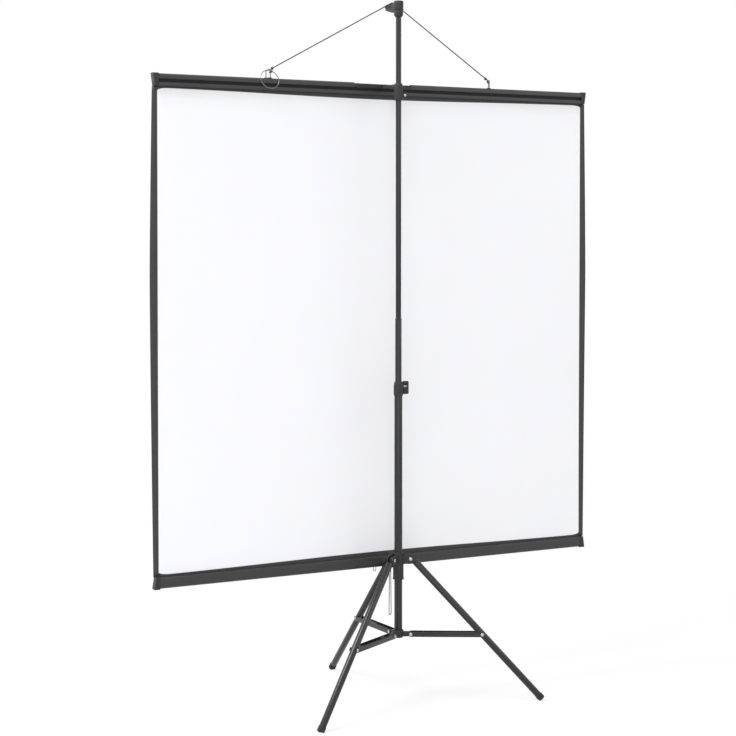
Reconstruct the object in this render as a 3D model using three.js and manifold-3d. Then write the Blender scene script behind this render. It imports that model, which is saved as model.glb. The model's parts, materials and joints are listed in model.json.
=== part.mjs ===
// Tripod projection screen: a telescopic mast on three folding legs carries a hanging sheet on a cord.
// Millimetres. X runs along the screen, +Y points to the audience, Z is up, and the floor is Z = 0.
import * as THREE from "three";
import { mergeVertices } from "three/addons/utils/BufferGeometryUtils.js";
import Module from "manifold-3d";

const wasm = await Module();
wasm.setup();

const radians = THREE.MathUtils.degToRad;

// Fits and facets
const fit = 0.3; // gap between pieces that are seated on each other
const play = 0.5; // side play of the folding links
const edge = 1; // broken edge of moulded pieces
const overcut = 1; // of a cutting tool past a face
const tubeSides = 24; // of a full circle
const smallSides = 12;
const cordSides = 8;
const arcSteps = 8; // of each rounded corner

// Mast tubes, each shown for part of its length
const lowerTubeRadius = 12.5;
const lowerTubeWall = 1.2;
const lowerTubeBore = lowerTubeRadius - lowerTubeWall;
const lowerTubeFoot = 198; // above the floor
const lowerTubeLength = 765;
const lowerTubeTop = lowerTubeFoot + lowerTubeLength;
const middleTubeRadius = 9.95;
const middleTubeWall = 0.7;
const middleTubeBore = middleTubeRadius - middleTubeWall;
const middleTubeLength = 700;
const middleTubeShown = 221;
const middleTubeTop = lowerTubeTop + middleTubeShown;
const middleTubeFoot = middleTubeTop - middleTubeLength;
const topTubeRadius = 8.55;
const topTubeWall = 1;
const topTubeLength = 1200;
const topTubeShown = 966;
const topTubeTop = middleTubeTop + topTubeShown;
const topTubeFoot = topTubeTop - topTubeLength;
const plugFlange = 3;
const plugLip = 2;
const plugDepth = 22;
const guideLength = 24;
const bushSkirt = 26;
const bushRim = 4;

// Leg hub
const legPivotRadius = 38.4;
const legPivotHeight = 441;
const hubDrop = 64; // of the hub below the leg pivots
const hubRise = 20; // above them
const hubFoot = legPivotHeight - hubDrop;
const hubTop = legPivotHeight + hubRise;
const hubWall = 3.7;
const hubRim = 1;
const hubRimHeight = 5;
const lugThickness = 3;
const lugRadius = 15;

// Legs
const legAzimuths = { right: -30, left: 210, front: 90 };
const legAngle = 42.7; // degrees off the vertical
const legTilt = radians(legAngle);
const legOffset = 4.2; // of the tube's axis from the pivot
const legTubeRadius = 10.5;
const legTubeWall = 1.2;
const legTubeStart = 17; // from the pivot, along the leg
const knuckleThickness = 14;
const knuckleRadius = 9.5;
const knuckleFlank = 20; // degrees, where the knuckle's round end begins
const knucklePlug = 30;
const footWall = 0.8;
const footCover = 16;
const footSole = 6;
const footChamfer = 1;
const footHeelHeight = 4.5; // of the middle of the sole's end, before the floor cuts it flat

// Spreader
const collarHeight = 21;
const collarWall = 3.7;
const collarLugRadius = 6;
const collarLugRoot = 7;
const bracePivotRadius = 38.7;
const bracePivotRise = 8; // above the lower tube's end
const braceHeight = 15;
const braceSheet = 1.5;
const braceWebStart = 14; // from the inner pivot
const braceWebEnd = 84; // before the outer pivot

// Rivets
const rivetRadius = 3;
const rivetHeadRadius = 5.5;
const rivetHead = 2;
const domeShare = 0.7; // flat part of a domed head

// Mast clamp
const clampSeat = 15; // of the clamp on the lower tube
const clampFoot = lowerTubeTop - clampSeat;
const clampHeight = 44;
const clampWall = 1.9;
const clampShoulder = 6;
const clampRim = 2.5; // of the upper edge, in from the collar's wall
const clampBossRadius = 8;
const clampBossReach = 15.2; // from the mast's axis
const clampScrewRise = 14; // above the lower tube's end
const clampScrewHeight = lowerTubeTop + clampScrewRise;
const clampScrewRadius = 2.5;
const knobHubRadius = 3.5;
const knobHubEnd = 29.5;
const knobStart = 16;
const knobEnd = 35;
const knobRise = 16; // of the upper wing above the screw
const knobFall = 24.4; // of the lower wing below it
const knobThickness = 10;
const knobCorner = 4;

// Screen, hung in front of the mast with its bottom rail just above the front leg
const screenY = 103.5; // of the sheet, from the mast's axis
const screenClearance = 1.95; // between the bottom rail's round foot and the leg
const railHalfLength = 765;
const railHalfThickness = 10;
const railOffLeg = legTubeRadius + screenClearance + railHalfThickness;
const legOverRail = (screenY - legPivotRadius) * Math.cos(legTilt) - legOffset;
const bottomRailAxis = legPivotHeight + (railOffLeg - legOverRail) / Math.sin(legTilt);
const bottomRailFoot = bottomRailAxis - railHalfThickness;
const bottomRailHeight = 34;
const bottomRailTop = bottomRailFoot + bottomRailHeight;
const sheetDrop = 1450.6; // between the rails
const topRailHeight = 37;
const topRailFoot = bottomRailTop + sheetDrop;
const topRailTop = topRailFoot + topRailHeight;
const railCrown = 8;
const railCorner = 3;
const grooveTop = 15.5; // below the rail's top
const grooveHeight = 11;
const grooveDepth = 6;
const grooveSlope = 2;
const beadChamberRadius = 3.6;
const beadDepth = 8.5; // of the beading's axis inside the rail's mouth
const beadRadius = 3;
const beadEndGap = 16; // from the rail's end
const railMouth = 1.8;
const capLength = 18;
const capEnd = 8;
const capProud = 1.2;
const capCorner = 2;
const capSlant = 5.6; // of the end face, from the rail's outer edge in to the sheet
const capTip = railHalfLength + fit + capEnd;
const capMouth = capTip - capLength;

// Sheet
const sheetThickness = 0.8;
const sheetLap = 0.2; // past the end caps' tips, at the sheet's corners
const sheetHalfWidth = capTip + sheetLap;
const sheetBow = 8; // of each side edge
const sheetBowHeight = 0.615; // of the sheet's height, where its edges stand out most
const sheetBowPower = 1.25; // 1 gives straight flanks
const sheetTuckGap = 5; // from an end cap's mouth, inside the rails
const sheetSteps = 28;

// Bar holder
const holderDrop = 59.4; // of its foot below the top rail's top
const holderFoot = topRailTop - holderDrop;
const holderHeight = 52;
const holderWall = 3;
const holderBulge = 1.4;
const holderRings = 6;
const holderSlot = 2.5;
const holderEarReach = 26.5;
const holderEarDepth = 8;
const holderEarHeight = 19;
const holderEarCorner = 4;
const holderScrewX = 17.8;
const holderScrewRise = 16;
const holderScrewHeight = holderFoot + holderScrewRise;
const holderScrewRadius = 2;
const holderScrewHeadRadius = 4.6;
const holderScrewHead = 3;
const holderScrewTail = 1;
const holderArmWidth = 13;
const holderArmRoot = [33, 50]; // above the holder's foot
const holderPadWidth = 34;
const holderPadThickness = 4;
const holderPadHeight = 6.5; // below the rail's crown

// Head cap
const headRadius = 15;
const headSeat = 31; // of the cap over the top tube
const headFoot = topTubeTop - headSeat;
const headSkirtRadius = 14;
const headSkirtTaper = 7; // height of the skirt's round foot
const headSkirtHeight = 19;
const headNeck = 2; // height of the waist between skirt and head
const headChamfer = 2;
const headRise = 18;
const headTop = topTubeTop + headRise;
const headLip = 1.6; // wall of the socket's mouth
const pegRadius = 9;
const pegRise = 5;
const pegHeight = topTubeTop + pegRise;
const pegReach = 73;
const pegBulb = 1.2;
const pegNose = 5;
const pegTip = 2;
const pegTipRadius = 5.1;
const pegRounding = 1.53;
const pegSides = 18;
const keelHalfWidth = 8; // of the web under the peg
const keelDrop = 21; // below the peg's axis
const keelReach = 28; // of its level part
const saddleY = 37;
const saddleWidth = 9;
const pegSlot = 2.4;
const pegSlotDepth = 2.2;
const pegSlotGap = 3; // from the saddle

// Top bar fittings
const eyeletX = 396;
const eyeletHeight = 25;
const eyeletWidth = 14;
const eyeletWire = 1.6;
const eyeletTurn = 45; // degrees from the bar's length
const eyeletPlate = 2;
const eyeletPlateLength = 28;
const eyeletPlateWidth = 10;
const eyeletSteps = 16;
const ringRadius = 30;
const ringWire = 1.3;
const ringLean = 22; // degrees off the vertical
const ringSteps = 28;
const strapHalfLength = 102;
const seatRecess = 14; // of the strap's seat below the rail's top
const strapRecess = 5.8;
const strapWidth = 15;
const strapThickness = 2.5;
const strapCorner = 4;
const strapRivetX = 88;
const strapRivetRadius = 2;
const strapRivetHeadRadius = 4.5;
const strapRivetHead = 1.6;
const strapRivetDepth = 5;

// Cords
const cordRadius = 1.75;
const cordTie = 6.5; // of the cord's ends from the eyelets, towards the mast
const cordBendSteps = 8;
const pullCordRadius = 1.25;
const pullX = 29;
const pullDrop = 150;
const pullSpread = 3.8;
const pullNeck = 2.6;
const pullBend = 10; // height of the loop's round end
const pullSteps = 36;
const gripHalfLength = 103;
const gripHeight = 9.5; // of the black grip in the bottom rail's foot
const clipLength = 26;
const clipWidth = 12;
const clipHeight = 6;
const clipWrap = 3; // up the rail's round foot
const bottomEyeX = -27;
const bottomEyeDrop = 12;
const bottomEyeWidth = 9;
const bottomEyeWire = 1.1;
const bottomEyeSteps = 12;

// Finishes
const finish = (color, roughness, metalness) => () =>
  new THREE.MeshStandardMaterial({ color, roughness, metalness });
const blackCoat = finish(0x3b3b3d, 0.45, 0.3);
const blackPlastic = finish(0x2c2c2e, 0.6, 0);
const railCoat = finish(0x4a4a4b, 0.5, 0.2);
const zinc = finish(0xd4d6d8, 0.25, 1);
const steel = finish(0x77787a, 0.35, 1);
const rubber = finish(0x1e1e1f, 0.85, 0);
const nylon = finish(0xd9d8d2, 0.5, 0);
const whiteSheet = finish(0xf4f4f8, 0.8, 0);
const greyCord = finish(0x808083, 0.75, 0);
const blackWebbing = finish(0x1d1d1e, 0.9, 0);

const axisX = new THREE.Vector3(1, 0, 0);
const axisY = new THREE.Vector3(0, 1, 0);
const axisZ = new THREE.Vector3(0, 0, 1);

// Closed solids from geometries, and back
function toSolid(geometry) {
  const bare = new THREE.BufferGeometry();
  bare.setAttribute("position", geometry.getAttribute("position").clone());
  bare.setIndex(geometry.index);
  const merged = mergeVertices(bare, 1e-4);
  const index = merged.index.array;
  const triangles = [];
  for (let i = 0; i < index.length; i += 3) {
    const [a, b, c] = index.slice(i, i + 3);
    if (a !== b && b !== c && c !== a) triangles.push(a, b, c);
  }
  const vertProperties = merged.getAttribute("position").array;
  const triVerts = new Uint32Array(triangles);
  return new wasm.Manifold(new wasm.Mesh({ numProp: 3, vertProperties, triVerts }));
}

function toGeometry(solid) {
  const { vertProperties, triVerts } = solid.getMesh();
  const geometry = new THREE.BufferGeometry();
  geometry.setAttribute("position", new THREE.BufferAttribute(vertProperties, 3));
  geometry.setIndex(new THREE.BufferAttribute(triVerts, 1));
  return geometry;
}

const join = (first, ...rest) =>
  toGeometry(rest.reduce((whole, piece) => whole.add(toSolid(piece)), toSolid(first)));
const cut = (first, ...rest) =>
  toGeometry(rest.reduce((whole, piece) => whole.subtract(toSolid(piece)), toSolid(first)));

// A profile of [radius, height] pairs revolved about Z
function revolve(profile, sides = tubeSides) {
  const points = profile.map(([radius, height]) => new THREE.Vector2(radius, height));
  return new THREE.LatheGeometry(points, sides).rotateX(Math.PI / 2);
}

const rod = (radius, low, high, sides) =>
  revolve([[0, low], [radius, low], [radius, high], [0, high]], sides);
const sleeve = (outer, inner, low, high, sides) =>
  revolve([[inner, low], [outer, low], [outer, high], [inner, high], [inner, low]], sides);

// Revolved pieces lie along Z: these turn them to lie along X or Y
const alongX = (geometry) => geometry.rotateY(Math.PI / 2);
const alongY = (geometry) => geometry.rotateX(-Math.PI / 2);

// An outline in X and Y with its thickness up from Z = 0
function plate(outline, depth, steps = arcSteps) {
  return new THREE.ExtrudeGeometry(outline, { depth, bevelEnabled: false, curveSegments: steps / 2 });
}

// An outline in X and Z with a thickness across Y, centred on Y = 0
function slab(outline, thickness, steps = arcSteps) {
  return plate(outline, thickness, steps).translate(0, 0, -thickness / 2).rotateX(Math.PI / 2);
}

// An outline in Y and Z carried along X from one end to the other
function rail(outline, from, to) {
  const geometry = plate(outline, to - from).translate(0, 0, from);
  return geometry.applyMatrix4(new THREE.Matrix4().makeBasis(axisY, axisZ, axisX));
}

function block(from, to) {
  const low = new THREE.Vector3(...from);
  const high = new THREE.Vector3(...to);
  const size = high.clone().sub(low);
  const middle = low.add(high).multiplyScalar(0.5);
  return new THREE.BoxGeometry(size.x, size.y, size.z).translate(middle.x, middle.y, middle.z);
}

// A round wire or cord along a curve
function wire(curve, radius, steps, sides = cordSides) {
  const section = new THREE.Shape().absarc(0, 0, radius, 0, 2 * Math.PI);
  const options = { steps, extrudePath: curve, bevelEnabled: false, curveSegments: sides / 2 };
  return new THREE.ExtrudeGeometry(section, options);
}

function roundHole(x, y, radius) {
  return new THREE.Path().absarc(x, y, radius, 0, 2 * Math.PI);
}

function roundedBox(x0, y0, x1, y1, corner) {
  const shape = new THREE.Shape();
  shape.absarc(x1 - corner, y1 - corner, corner, 0, Math.PI / 2);
  shape.absarc(x0 + corner, y1 - corner, corner, Math.PI / 2, Math.PI);
  shape.absarc(x0 + corner, y0 + corner, corner, Math.PI, 1.5 * Math.PI);
  shape.absarc(x1 - corner, y0 + corner, corner, 1.5 * Math.PI, 2 * Math.PI);
  shape.closePath();
  return shape;
}

function mesh(name, geometry, material) {
  const node = new THREE.Mesh(geometry, material());
  node.name = name;
  return node;
}

// A rivet across Y with a domed head on both ends
function rivet(halfGrip) {
  const headFace = halfGrip + fit;
  const tip = headFace + rivetHead;
  const shoulder = tip - rivetHead / 2;
  const upper = [
    [rivetRadius, headFace],
    [rivetHeadRadius, headFace],
    [rivetHeadRadius, shoulder],
    [rivetHeadRadius * domeShare, tip],
    [0, tip],
  ];
  const lower = upper.map(([radius, height]) => [radius, -height]).reverse();
  return alongY(revolve([...lower, ...upper], smallSides));
}

// Mast
function lowerTube() {
  return sleeve(lowerTubeRadius, lowerTubeBore, lowerTubeFoot, lowerTubeTop);
}

function tubePlug() {
  const flangeTop = lowerTubeFoot - fit;
  const flangeRadius = lowerTubeRadius + plugLip;
  const plugRadius = lowerTubeBore - fit;
  return revolve([
    [0, flangeTop - plugFlange],
    [flangeRadius - edge, flangeTop - plugFlange],
    [flangeRadius, flangeTop - plugFlange + edge],
    [flangeRadius, flangeTop],
    [plugRadius, flangeTop],
    [plugRadius, flangeTop + plugDepth],
    [0, flangeTop + plugDepth],
  ]);
}

function middleTube() {
  return sleeve(middleTubeRadius, middleTubeBore, middleTubeFoot, middleTubeTop);
}

// The guide rings sit on a tube's lower end and slide in the next tube's bore
function guideRing(tubeRadius, bore, foot) {
  const outer = bore - fit;
  const seat = tubeRadius + fit;
  const stop = tubeRadius - 2 * fit;
  const floor = foot - fit;
  return revolve([
    [stop, floor - bushRim],
    [outer, floor - bushRim],
    [outer, floor + guideLength],
    [seat, floor + guideLength],
    [seat, floor],
    [stop, floor],
    [stop, floor - bushRim],
  ]);
}

function topGuide() {
  const outer = middleTubeBore - fit / 2;
  const plug = topTubeRadius - topTubeWall - fit;
  const floor = topTubeFoot - fit;
  return revolve([
    [0, floor - bushRim],
    [outer, floor - bushRim],
    [outer, floor],
    [plug, floor],
    [plug, floor + guideLength],
    [0, floor + guideLength],
  ]);
}

function middleBush() {
  const bore = topTubeRadius + fit / 2;
  const skirt = middleTubeBore - fit / 2;
  const rim = middleTubeTop + fit;
  return revolve([
    [bore, middleTubeTop - bushSkirt],
    [skirt, middleTubeTop - bushSkirt],
    [skirt, rim],
    [middleTubeRadius, rim],
    [middleTubeRadius, rim + bushRim - edge],
    [middleTubeRadius - edge, rim + bushRim],
    [bore, rim + bushRim],
    [bore, middleTubeTop - bushSkirt],
  ]);
}

function topTube() {
  return sleeve(topTubeRadius, topTubeRadius - topTubeWall, topTubeFoot, topTubeTop);
}

// A stepped sleeve on the lower tube's end; a screw in its boss presses on the middle tube
function clampCollar() {
  const top = clampFoot + clampHeight;
  const outer = lowerTubeRadius + fit + clampWall;
  const below = clampFoot - overcut;
  const body = revolve([
    [0, clampFoot],
    [outer - edge, clampFoot],
    [outer, clampFoot + clampShoulder],
    [outer, clampScrewHeight],
    [outer - edge, top - clampShoulder],
    [outer - clampRim, top],
    [0, top],
  ]);
  const boss = alongX(rod(clampBossRadius, 0, clampBossReach)).translate(0, 0, clampScrewHeight);
  const tubeSeat = rod(lowerTubeRadius + fit, below, lowerTubeTop + fit);
  const bore = rod(middleTubeRadius + fit, below, top + overcut);
  const screwHole = alongX(rod(clampScrewRadius + fit, 0, clampBossReach + overcut, smallSides));
  screwHole.translate(0, 0, clampScrewHeight);
  return cut(join(body, boss), tubeSeat, bore, screwHole);
}

// The screw's plain tip, its shank and the bright hub that the knob's wings reach along
function clampScrew() {
  const screw = revolve([
    [0, middleTubeRadius + fit],
    [clampScrewRadius, middleTubeRadius + fit],
    [clampScrewRadius, clampBossReach + fit],
    [knobHubRadius, clampBossReach + fit],
    [knobHubRadius, knobHubEnd],
    [0, knobHubEnd],
  ], smallSides);
  return alongX(screw).translate(0, 0, clampScrewHeight);
}

// Two wings joined at the knob's outer end
function clampKnob() {
  const wings = slab(roundedBox(knobStart, -knobFall, knobEnd, knobRise, knobCorner), knobThickness);
  const reach = knobThickness;
  const slotHalf = knobHubRadius + fit;
  const slot = block([0, -reach, -slotHalf], [knobHubEnd + fit, reach, slotHalf]);
  return cut(wings, slot).translate(0, 0, clampScrewHeight);
}

// Bar holder: a barrel-shaped split clamp on the top tube, with an arm and pad that steady the top rail
function barHolder() {
  const top = holderFoot + holderHeight;
  const bore = topTubeRadius + fit;
  const rim = bore + holderWall;
  const barrel = [[0, holderFoot]];
  for (let i = 0; i <= holderRings; i++) {
    const t = i / holderRings;
    barrel.push([rim + holderBulge * Math.sin(Math.PI * t), holderFoot + holderHeight * t]);
  }
  barrel.push([0, top]);
  const earLow = holderScrewHeight - holderEarHeight / 2;
  const earHigh = holderScrewHeight + holderEarHeight / 2;
  const ears = slab(roundedBox(0, earLow, holderEarReach, earHigh, holderEarCorner), 2 * holderEarDepth);
  const padFace = screenY - railHalfThickness - fit;
  const padHigh = topRailTop - railCrown;
  const padLow = padHigh - holderPadHeight;
  const armEnd = padFace - holderPadThickness / 2;
  const [rootLow, rootHigh] = holderArmRoot;
  const arm = new THREE.Shape();
  arm.moveTo(0, holderFoot + rootLow);
  arm.lineTo(armEnd, padLow);
  arm.lineTo(armEnd, padHigh);
  arm.lineTo(0, holderFoot + rootHigh);
  arm.closePath();
  const armSolid = rail(arm, -holderArmWidth / 2, holderArmWidth / 2);
  const halfPad = holderPadWidth / 2;
  const pad = block([-halfPad, padFace - holderPadThickness, padLow], [halfPad, padFace, padHigh]);
  const below = holderFoot - overcut;
  const above = top + overcut;
  const slot = block([0, -holderSlot / 2, below], [holderEarReach + overcut, holderSlot / 2, above]);
  const holeReach = holderEarDepth + overcut;
  const screwHole = alongY(rod(holderScrewRadius + fit, -holeReach, holeReach, smallSides));
  screwHole.translate(holderScrewX, 0, holderScrewHeight);
  const body = join(revolve(barrel), ears, armSolid, pad);
  return cut(body, rod(bore, below, above), slot, screwHole);
}

function holderScrew() {
  const face = holderEarDepth + fit;
  const tail = -holderEarDepth - holderScrewTail;
  const screw = revolve([
    [0, tail],
    [holderScrewRadius, tail],
    [holderScrewRadius, face],
    [holderScrewHeadRadius, face],
    [holderScrewHeadRadius, face + holderScrewHead / 2],
    [holderScrewHeadRadius * domeShare, face + holderScrewHead],
    [0, face + holderScrewHead],
  ], smallSides);
  return screw.rotateX(Math.PI / 2).translate(holderScrewX, 0, holderScrewHeight);
}

// Head cap: a flat-topped head on the top tube with a peg to the front; the cord lies in the peg's saddle
function headCap() {
  const skirtTop = headFoot + headSkirtHeight;
  const head = revolve([
    [0, headFoot],
    [topTubeRadius + fit + headLip, headFoot],
    [headSkirtRadius - edge, headFoot + headSkirtTaper / 2],
    [headSkirtRadius, headFoot + headSkirtTaper],
    [headSkirtRadius, skirtTop - edge],
    [headSkirtRadius - edge, skirtTop],
    [headRadius, skirtTop + headNeck],
    [headRadius, headTop - headChamfer],
    [headRadius - headChamfer, headTop],
    [0, headTop],
  ]);
  const bulb = pegRadius + pegBulb;
  const saddleNear = saddleY - saddleWidth / 2;
  const saddleFar = saddleY + saddleWidth / 2;
  const peg = alongY(revolve([
    [0, 0],
    [bulb, 0],
    [bulb, saddleNear - pegBulb],
    [pegRadius, saddleNear],
    [pegRadius, saddleFar],
    [bulb, saddleFar + pegBulb],
    [bulb, pegReach - pegNose],
    [bulb - pegRounding, pegReach - pegTip],
    [pegTipRadius, pegReach],
    [0, pegReach],
  ], pegSides));
  peg.translate(0, 0, pegHeight);
  const web = new THREE.Shape();
  web.moveTo(0, 0);
  web.lineTo(0, -keelDrop);
  web.lineTo(keelReach, -keelDrop);
  web.lineTo(pegReach - pegNose, -bulb);
  web.lineTo(pegReach - pegNose, 0);
  web.closePath();
  const keel = rail(web, -keelHalfWidth, keelHalfWidth).translate(0, 0, pegHeight);
  const socket = rod(topTubeRadius + fit, headFoot - overcut, topTubeTop + fit);
  const slots = [-1, 1].map((side) => {
    const inner = side * (bulb - pegSlotDepth);
    const outer = side * (bulb + overcut);
    const low = [Math.min(inner, outer), saddleFar + pegSlotGap, pegHeight - pegSlot / 2];
    const high = [Math.max(inner, outer), pegReach - pegNose, pegHeight + pegSlot / 2];
    return block(low, high);
  });
  return cut(join(head, peg, keel), socket, ...slots);
}

// Leg hub and spreader collar, drawn for one lug in the X-Z plane and repeated round the mast
const legTurns = Object.values(legAzimuths).map(radians);
const linkGap = legTubeRadius + play; // half the opening between a brace's flanges
const braceHalfWidth = linkGap + braceSheet;
const bracePivotHeight = lowerTubeFoot + bracePivotRise;
const lugGap = knuckleThickness / 2 + play;
const lugOuter = lugGap + lugThickness;

function roundMast(makePiece) {
  return legTurns.flatMap((turn) => makePiece().map((piece) => piece.rotateZ(turn)));
}

function legHub() {
  const bore = lowerTubeRadius + fit;
  const outer = bore + hubWall;
  const barrel = revolve([
    [0, hubFoot],
    [outer + hubRim, hubFoot],
    [outer + hubRim, hubFoot + hubRimHeight - hubRim],
    [outer, hubFoot + hubRimHeight],
    [outer, hubTop - 2 * edge],
    [outer - 2 * edge, hubTop],
    [0, hubTop],
  ]);
  const lug = new THREE.Shape();
  const root = bore + hubWall / 3;
  lug.moveTo(root, hubTop - 2 * edge);
  lug.lineTo(root, legPivotHeight - lugRadius);
  lug.absarc(legPivotRadius, legPivotHeight, lugRadius, -Math.PI / 2, Math.PI / 2);
  lug.closePath();
  lug.holes.push(roundHole(legPivotRadius, legPivotHeight, rivetRadius + fit));
  const shift = (lugGap + lugOuter) / 2;
  const cheeks = () => [-shift, shift].map((y) => slab(lug, lugThickness).translate(0, y, 0));
  return cut(join(barrel, ...roundMast(cheeks)), rod(bore, hubFoot - overcut, hubTop + overcut));
}

function spreaderCollar() {
  const bore = lowerTubeRadius + fit;
  const outer = bore + collarWall;
  const top = lowerTubeFoot + collarHeight;
  const barrel = revolve([
    [0, lowerTubeFoot],
    [outer, lowerTubeFoot],
    [outer, top - 2 * edge],
    [outer - 2 * edge, top],
    [0, top],
  ]);
  const root = bore + collarWall / 3;
  const lug = new THREE.Shape();
  lug.moveTo(root, bracePivotHeight + collarLugRoot);
  lug.lineTo(root, bracePivotHeight - collarLugRoot);
  lug.absarc(bracePivotRadius, bracePivotHeight, collarLugRadius, -Math.PI / 2, Math.PI / 2);
  lug.closePath();
  lug.holes.push(roundHole(bracePivotRadius, bracePivotHeight, rivetRadius + fit));
  const lugs = () => [slab(lug, 2 * legTubeRadius)];
  return cut(join(barrel, ...roundMast(lugs)), rod(bore, lowerTubeFoot - overcut, top + overcut));
}

// One leg in its own frame: the pivot is the origin, the leg runs down -Z, +X faces up and outwards
const soleEnd =
  (legPivotHeight + legOffset * Math.sin(legTilt) - footHeelHeight) / Math.cos(legTilt);
const legTubeEnd = soleEnd - footSole;

// A brace's outer pivot is where the leg's axis passes the inner pivot's height
const legRun =
  (legPivotHeight + legOffset * Math.sin(legTilt) - bracePivotHeight) / Math.cos(legTilt);
const braceEndRadius =
  legPivotRadius + legOffset * Math.cos(legTilt) + legRun * Math.sin(legTilt);

function legFrame() {
  const frame = new THREE.Group();
  frame.position.set(legPivotRadius, 0, legPivotHeight);
  frame.rotation.y = -legTilt;
  return frame;
}

function legTube() {
  const inner = legTubeRadius - legTubeWall;
  return sleeve(legTubeRadius, inner, -legTubeEnd, -legTubeStart).translate(legOffset, 0, 0);
}

function legKnuckle() {
  const plugRadius = legTubeRadius - legTubeWall - fit;
  const end = legTubeStart - fit;
  const cheek = new THREE.Shape();
  cheek.moveTo(legOffset + plugRadius, -end);
  cheek.absarc(0, 0, knuckleRadius, radians(knuckleFlank), Math.PI);
  cheek.lineTo(legOffset - plugRadius, -end);
  cheek.closePath();
  const plug = rod(plugRadius, -end - knucklePlug, -end + overcut, smallSides).translate(legOffset, 0, 0);
  const hole = alongY(rod(rivetRadius + fit, -knuckleThickness, knuckleThickness, smallSides));
  return cut(join(slab(cheek, knuckleThickness), plug), hole);
}

function legFoot() {
  const bore = legTubeRadius + fit;
  const outer = bore + footWall;
  const sole = -soleEnd;
  const floorOfBore = sole + footSole - fit;
  const boot = revolve([
    [0, sole],
    [outer - footChamfer, sole],
    [outer, sole + footChamfer],
    [outer, sole + footCover - footChamfer],
    [outer - edge, sole + footCover],
    [bore, sole + footCover],
    [bore, floorOfBore],
    [0, floorOfBore],
  ]).translate(legOffset, 0, 0);
  const below = block([0, -footCover, -footCover], [2 * soleEnd, footCover, 0]);
  const frame = legFrame();
  frame.updateMatrix();
  return cut(boot, below.applyMatrix4(frame.matrix.clone().invert()));
}

// One brace in the X-Z plane, an open-topped channel whose flanges straddle collar lug and leg
function brace() {
  const half = braceHeight / 2;
  const outer = braceEndRadius;
  const profile = new THREE.Shape();
  profile.absarc(outer, bracePivotHeight, half, -Math.PI / 2, Math.PI / 2);
  profile.absarc(bracePivotRadius, bracePivotHeight, half, Math.PI / 2, 1.5 * Math.PI);
  profile.closePath();
  for (const x of [bracePivotRadius, outer])
    profile.holes.push(roundHole(x, bracePivotHeight, rivetRadius + fit));
  const webTop = bracePivotHeight - half + braceSheet;
  const reach = [bracePivotRadius - braceHeight, outer + braceHeight];
  const web = [bracePivotRadius + braceWebStart, outer - braceWebEnd];
  const trough = block([reach[0], -linkGap, webTop], [reach[1], linkGap, webTop + braceHeight]);
  const innerGap = block([reach[0], -linkGap, webTop - half], [web[0], linkGap, webTop + half]);
  const outerGap = block([web[1], -linkGap, webTop - half], [reach[1], linkGap, webTop + half]);
  return cut(slab(profile, 2 * braceHalfWidth), trough, innerGap, outerGap);
}

// The outer rivets are headed over in the flanges alone
function braceRivet() {
  const face = braceHalfWidth + fit;
  const profile = [
    [0, linkGap + fit / 2],
    [rivetRadius, linkGap + fit / 2],
    [rivetRadius, face],
    [rivetHeadRadius, face],
    [rivetHeadRadius, face + rivetHead / 2],
    [rivetHeadRadius * domeShare, face + rivetHead],
    [0, face + rivetHead],
  ];
  return alongY(revolve(profile, smallSides));
}

function legAssembly(side) {
  const assembly = new THREE.Group();
  assembly.rotation.z = radians(legAzimuths[side]);
  const leg = legFrame();
  leg.add(mesh(`leg_tube_${side}`, legTube(), blackCoat));
  leg.add(mesh(`leg_knuckle_${side}`, legKnuckle(), blackPlastic));
  leg.add(mesh(`leg_foot_${side}`, legFoot(), rubber));
  assembly.add(leg);
  const hubPin = mesh(`hub_pin_${side}`, rivet(lugOuter), zinc);
  hubPin.position.set(legPivotRadius, 0, legPivotHeight);
  assembly.add(hubPin);
  const collarPin = mesh(`spreader_pin_${side}`, rivet(braceHalfWidth), zinc);
  collarPin.position.set(bracePivotRadius, 0, bracePivotHeight);
  assembly.add(collarPin);
  assembly.add(mesh(`brace_${side}`, brace(), blackCoat));
  for (const [end, turn] of [["a", 0], ["b", Math.PI]]) {
    const head = mesh(`brace_rivet_${side}_${end}`, braceRivet(), zinc);
    head.position.set(braceEndRadius, 0, bracePivotHeight);
    head.rotation.z = turn;
    assembly.add(head);
  }
  return assembly;
}

// Rails: Y-Z outlines about the sheet's plane, with a mouth and a round chamber for the beading
const mouthAngle = Math.asin(railMouth / 2 / beadChamberRadius);

function topRailOutline(grow, open) {
  const half = railHalfThickness + grow;
  const crown = railCrown + grow;
  const top = topRailTop + grow;
  const foot = topRailFoot - grow;
  const shape = new THREE.Shape();
  shape.absarc(half - crown, top - crown, crown, 0, Math.PI / 2);
  shape.absarc(crown - half, top - crown, crown, Math.PI / 2, Math.PI);
  const grooveHigh = topRailTop - grooveTop;
  const grooveLow = grooveHigh - grooveHeight;
  const inset = half - grooveDepth;
  const groove = [
    [half, grooveLow],
    [inset, grooveLow + grooveSlope],
    [inset, grooveHigh - grooveSlope],
    [half, grooveHigh],
  ];
  if (open) for (const [y, z] of groove.toReversed()) shape.lineTo(-y, z);
  shape.lineTo(-half, foot);
  if (open) {
    shape.lineTo(-railMouth / 2, foot);
    const down = -Math.PI / 2;
    shape.absarc(0, foot + beadDepth, beadChamberRadius, down - mouthAngle, down + mouthAngle, true);
    shape.lineTo(railMouth / 2, foot);
  }
  shape.lineTo(half, foot);
  if (open) for (const [y, z] of groove) shape.lineTo(y, z);
  shape.closePath();
  return shape;
}

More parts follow.
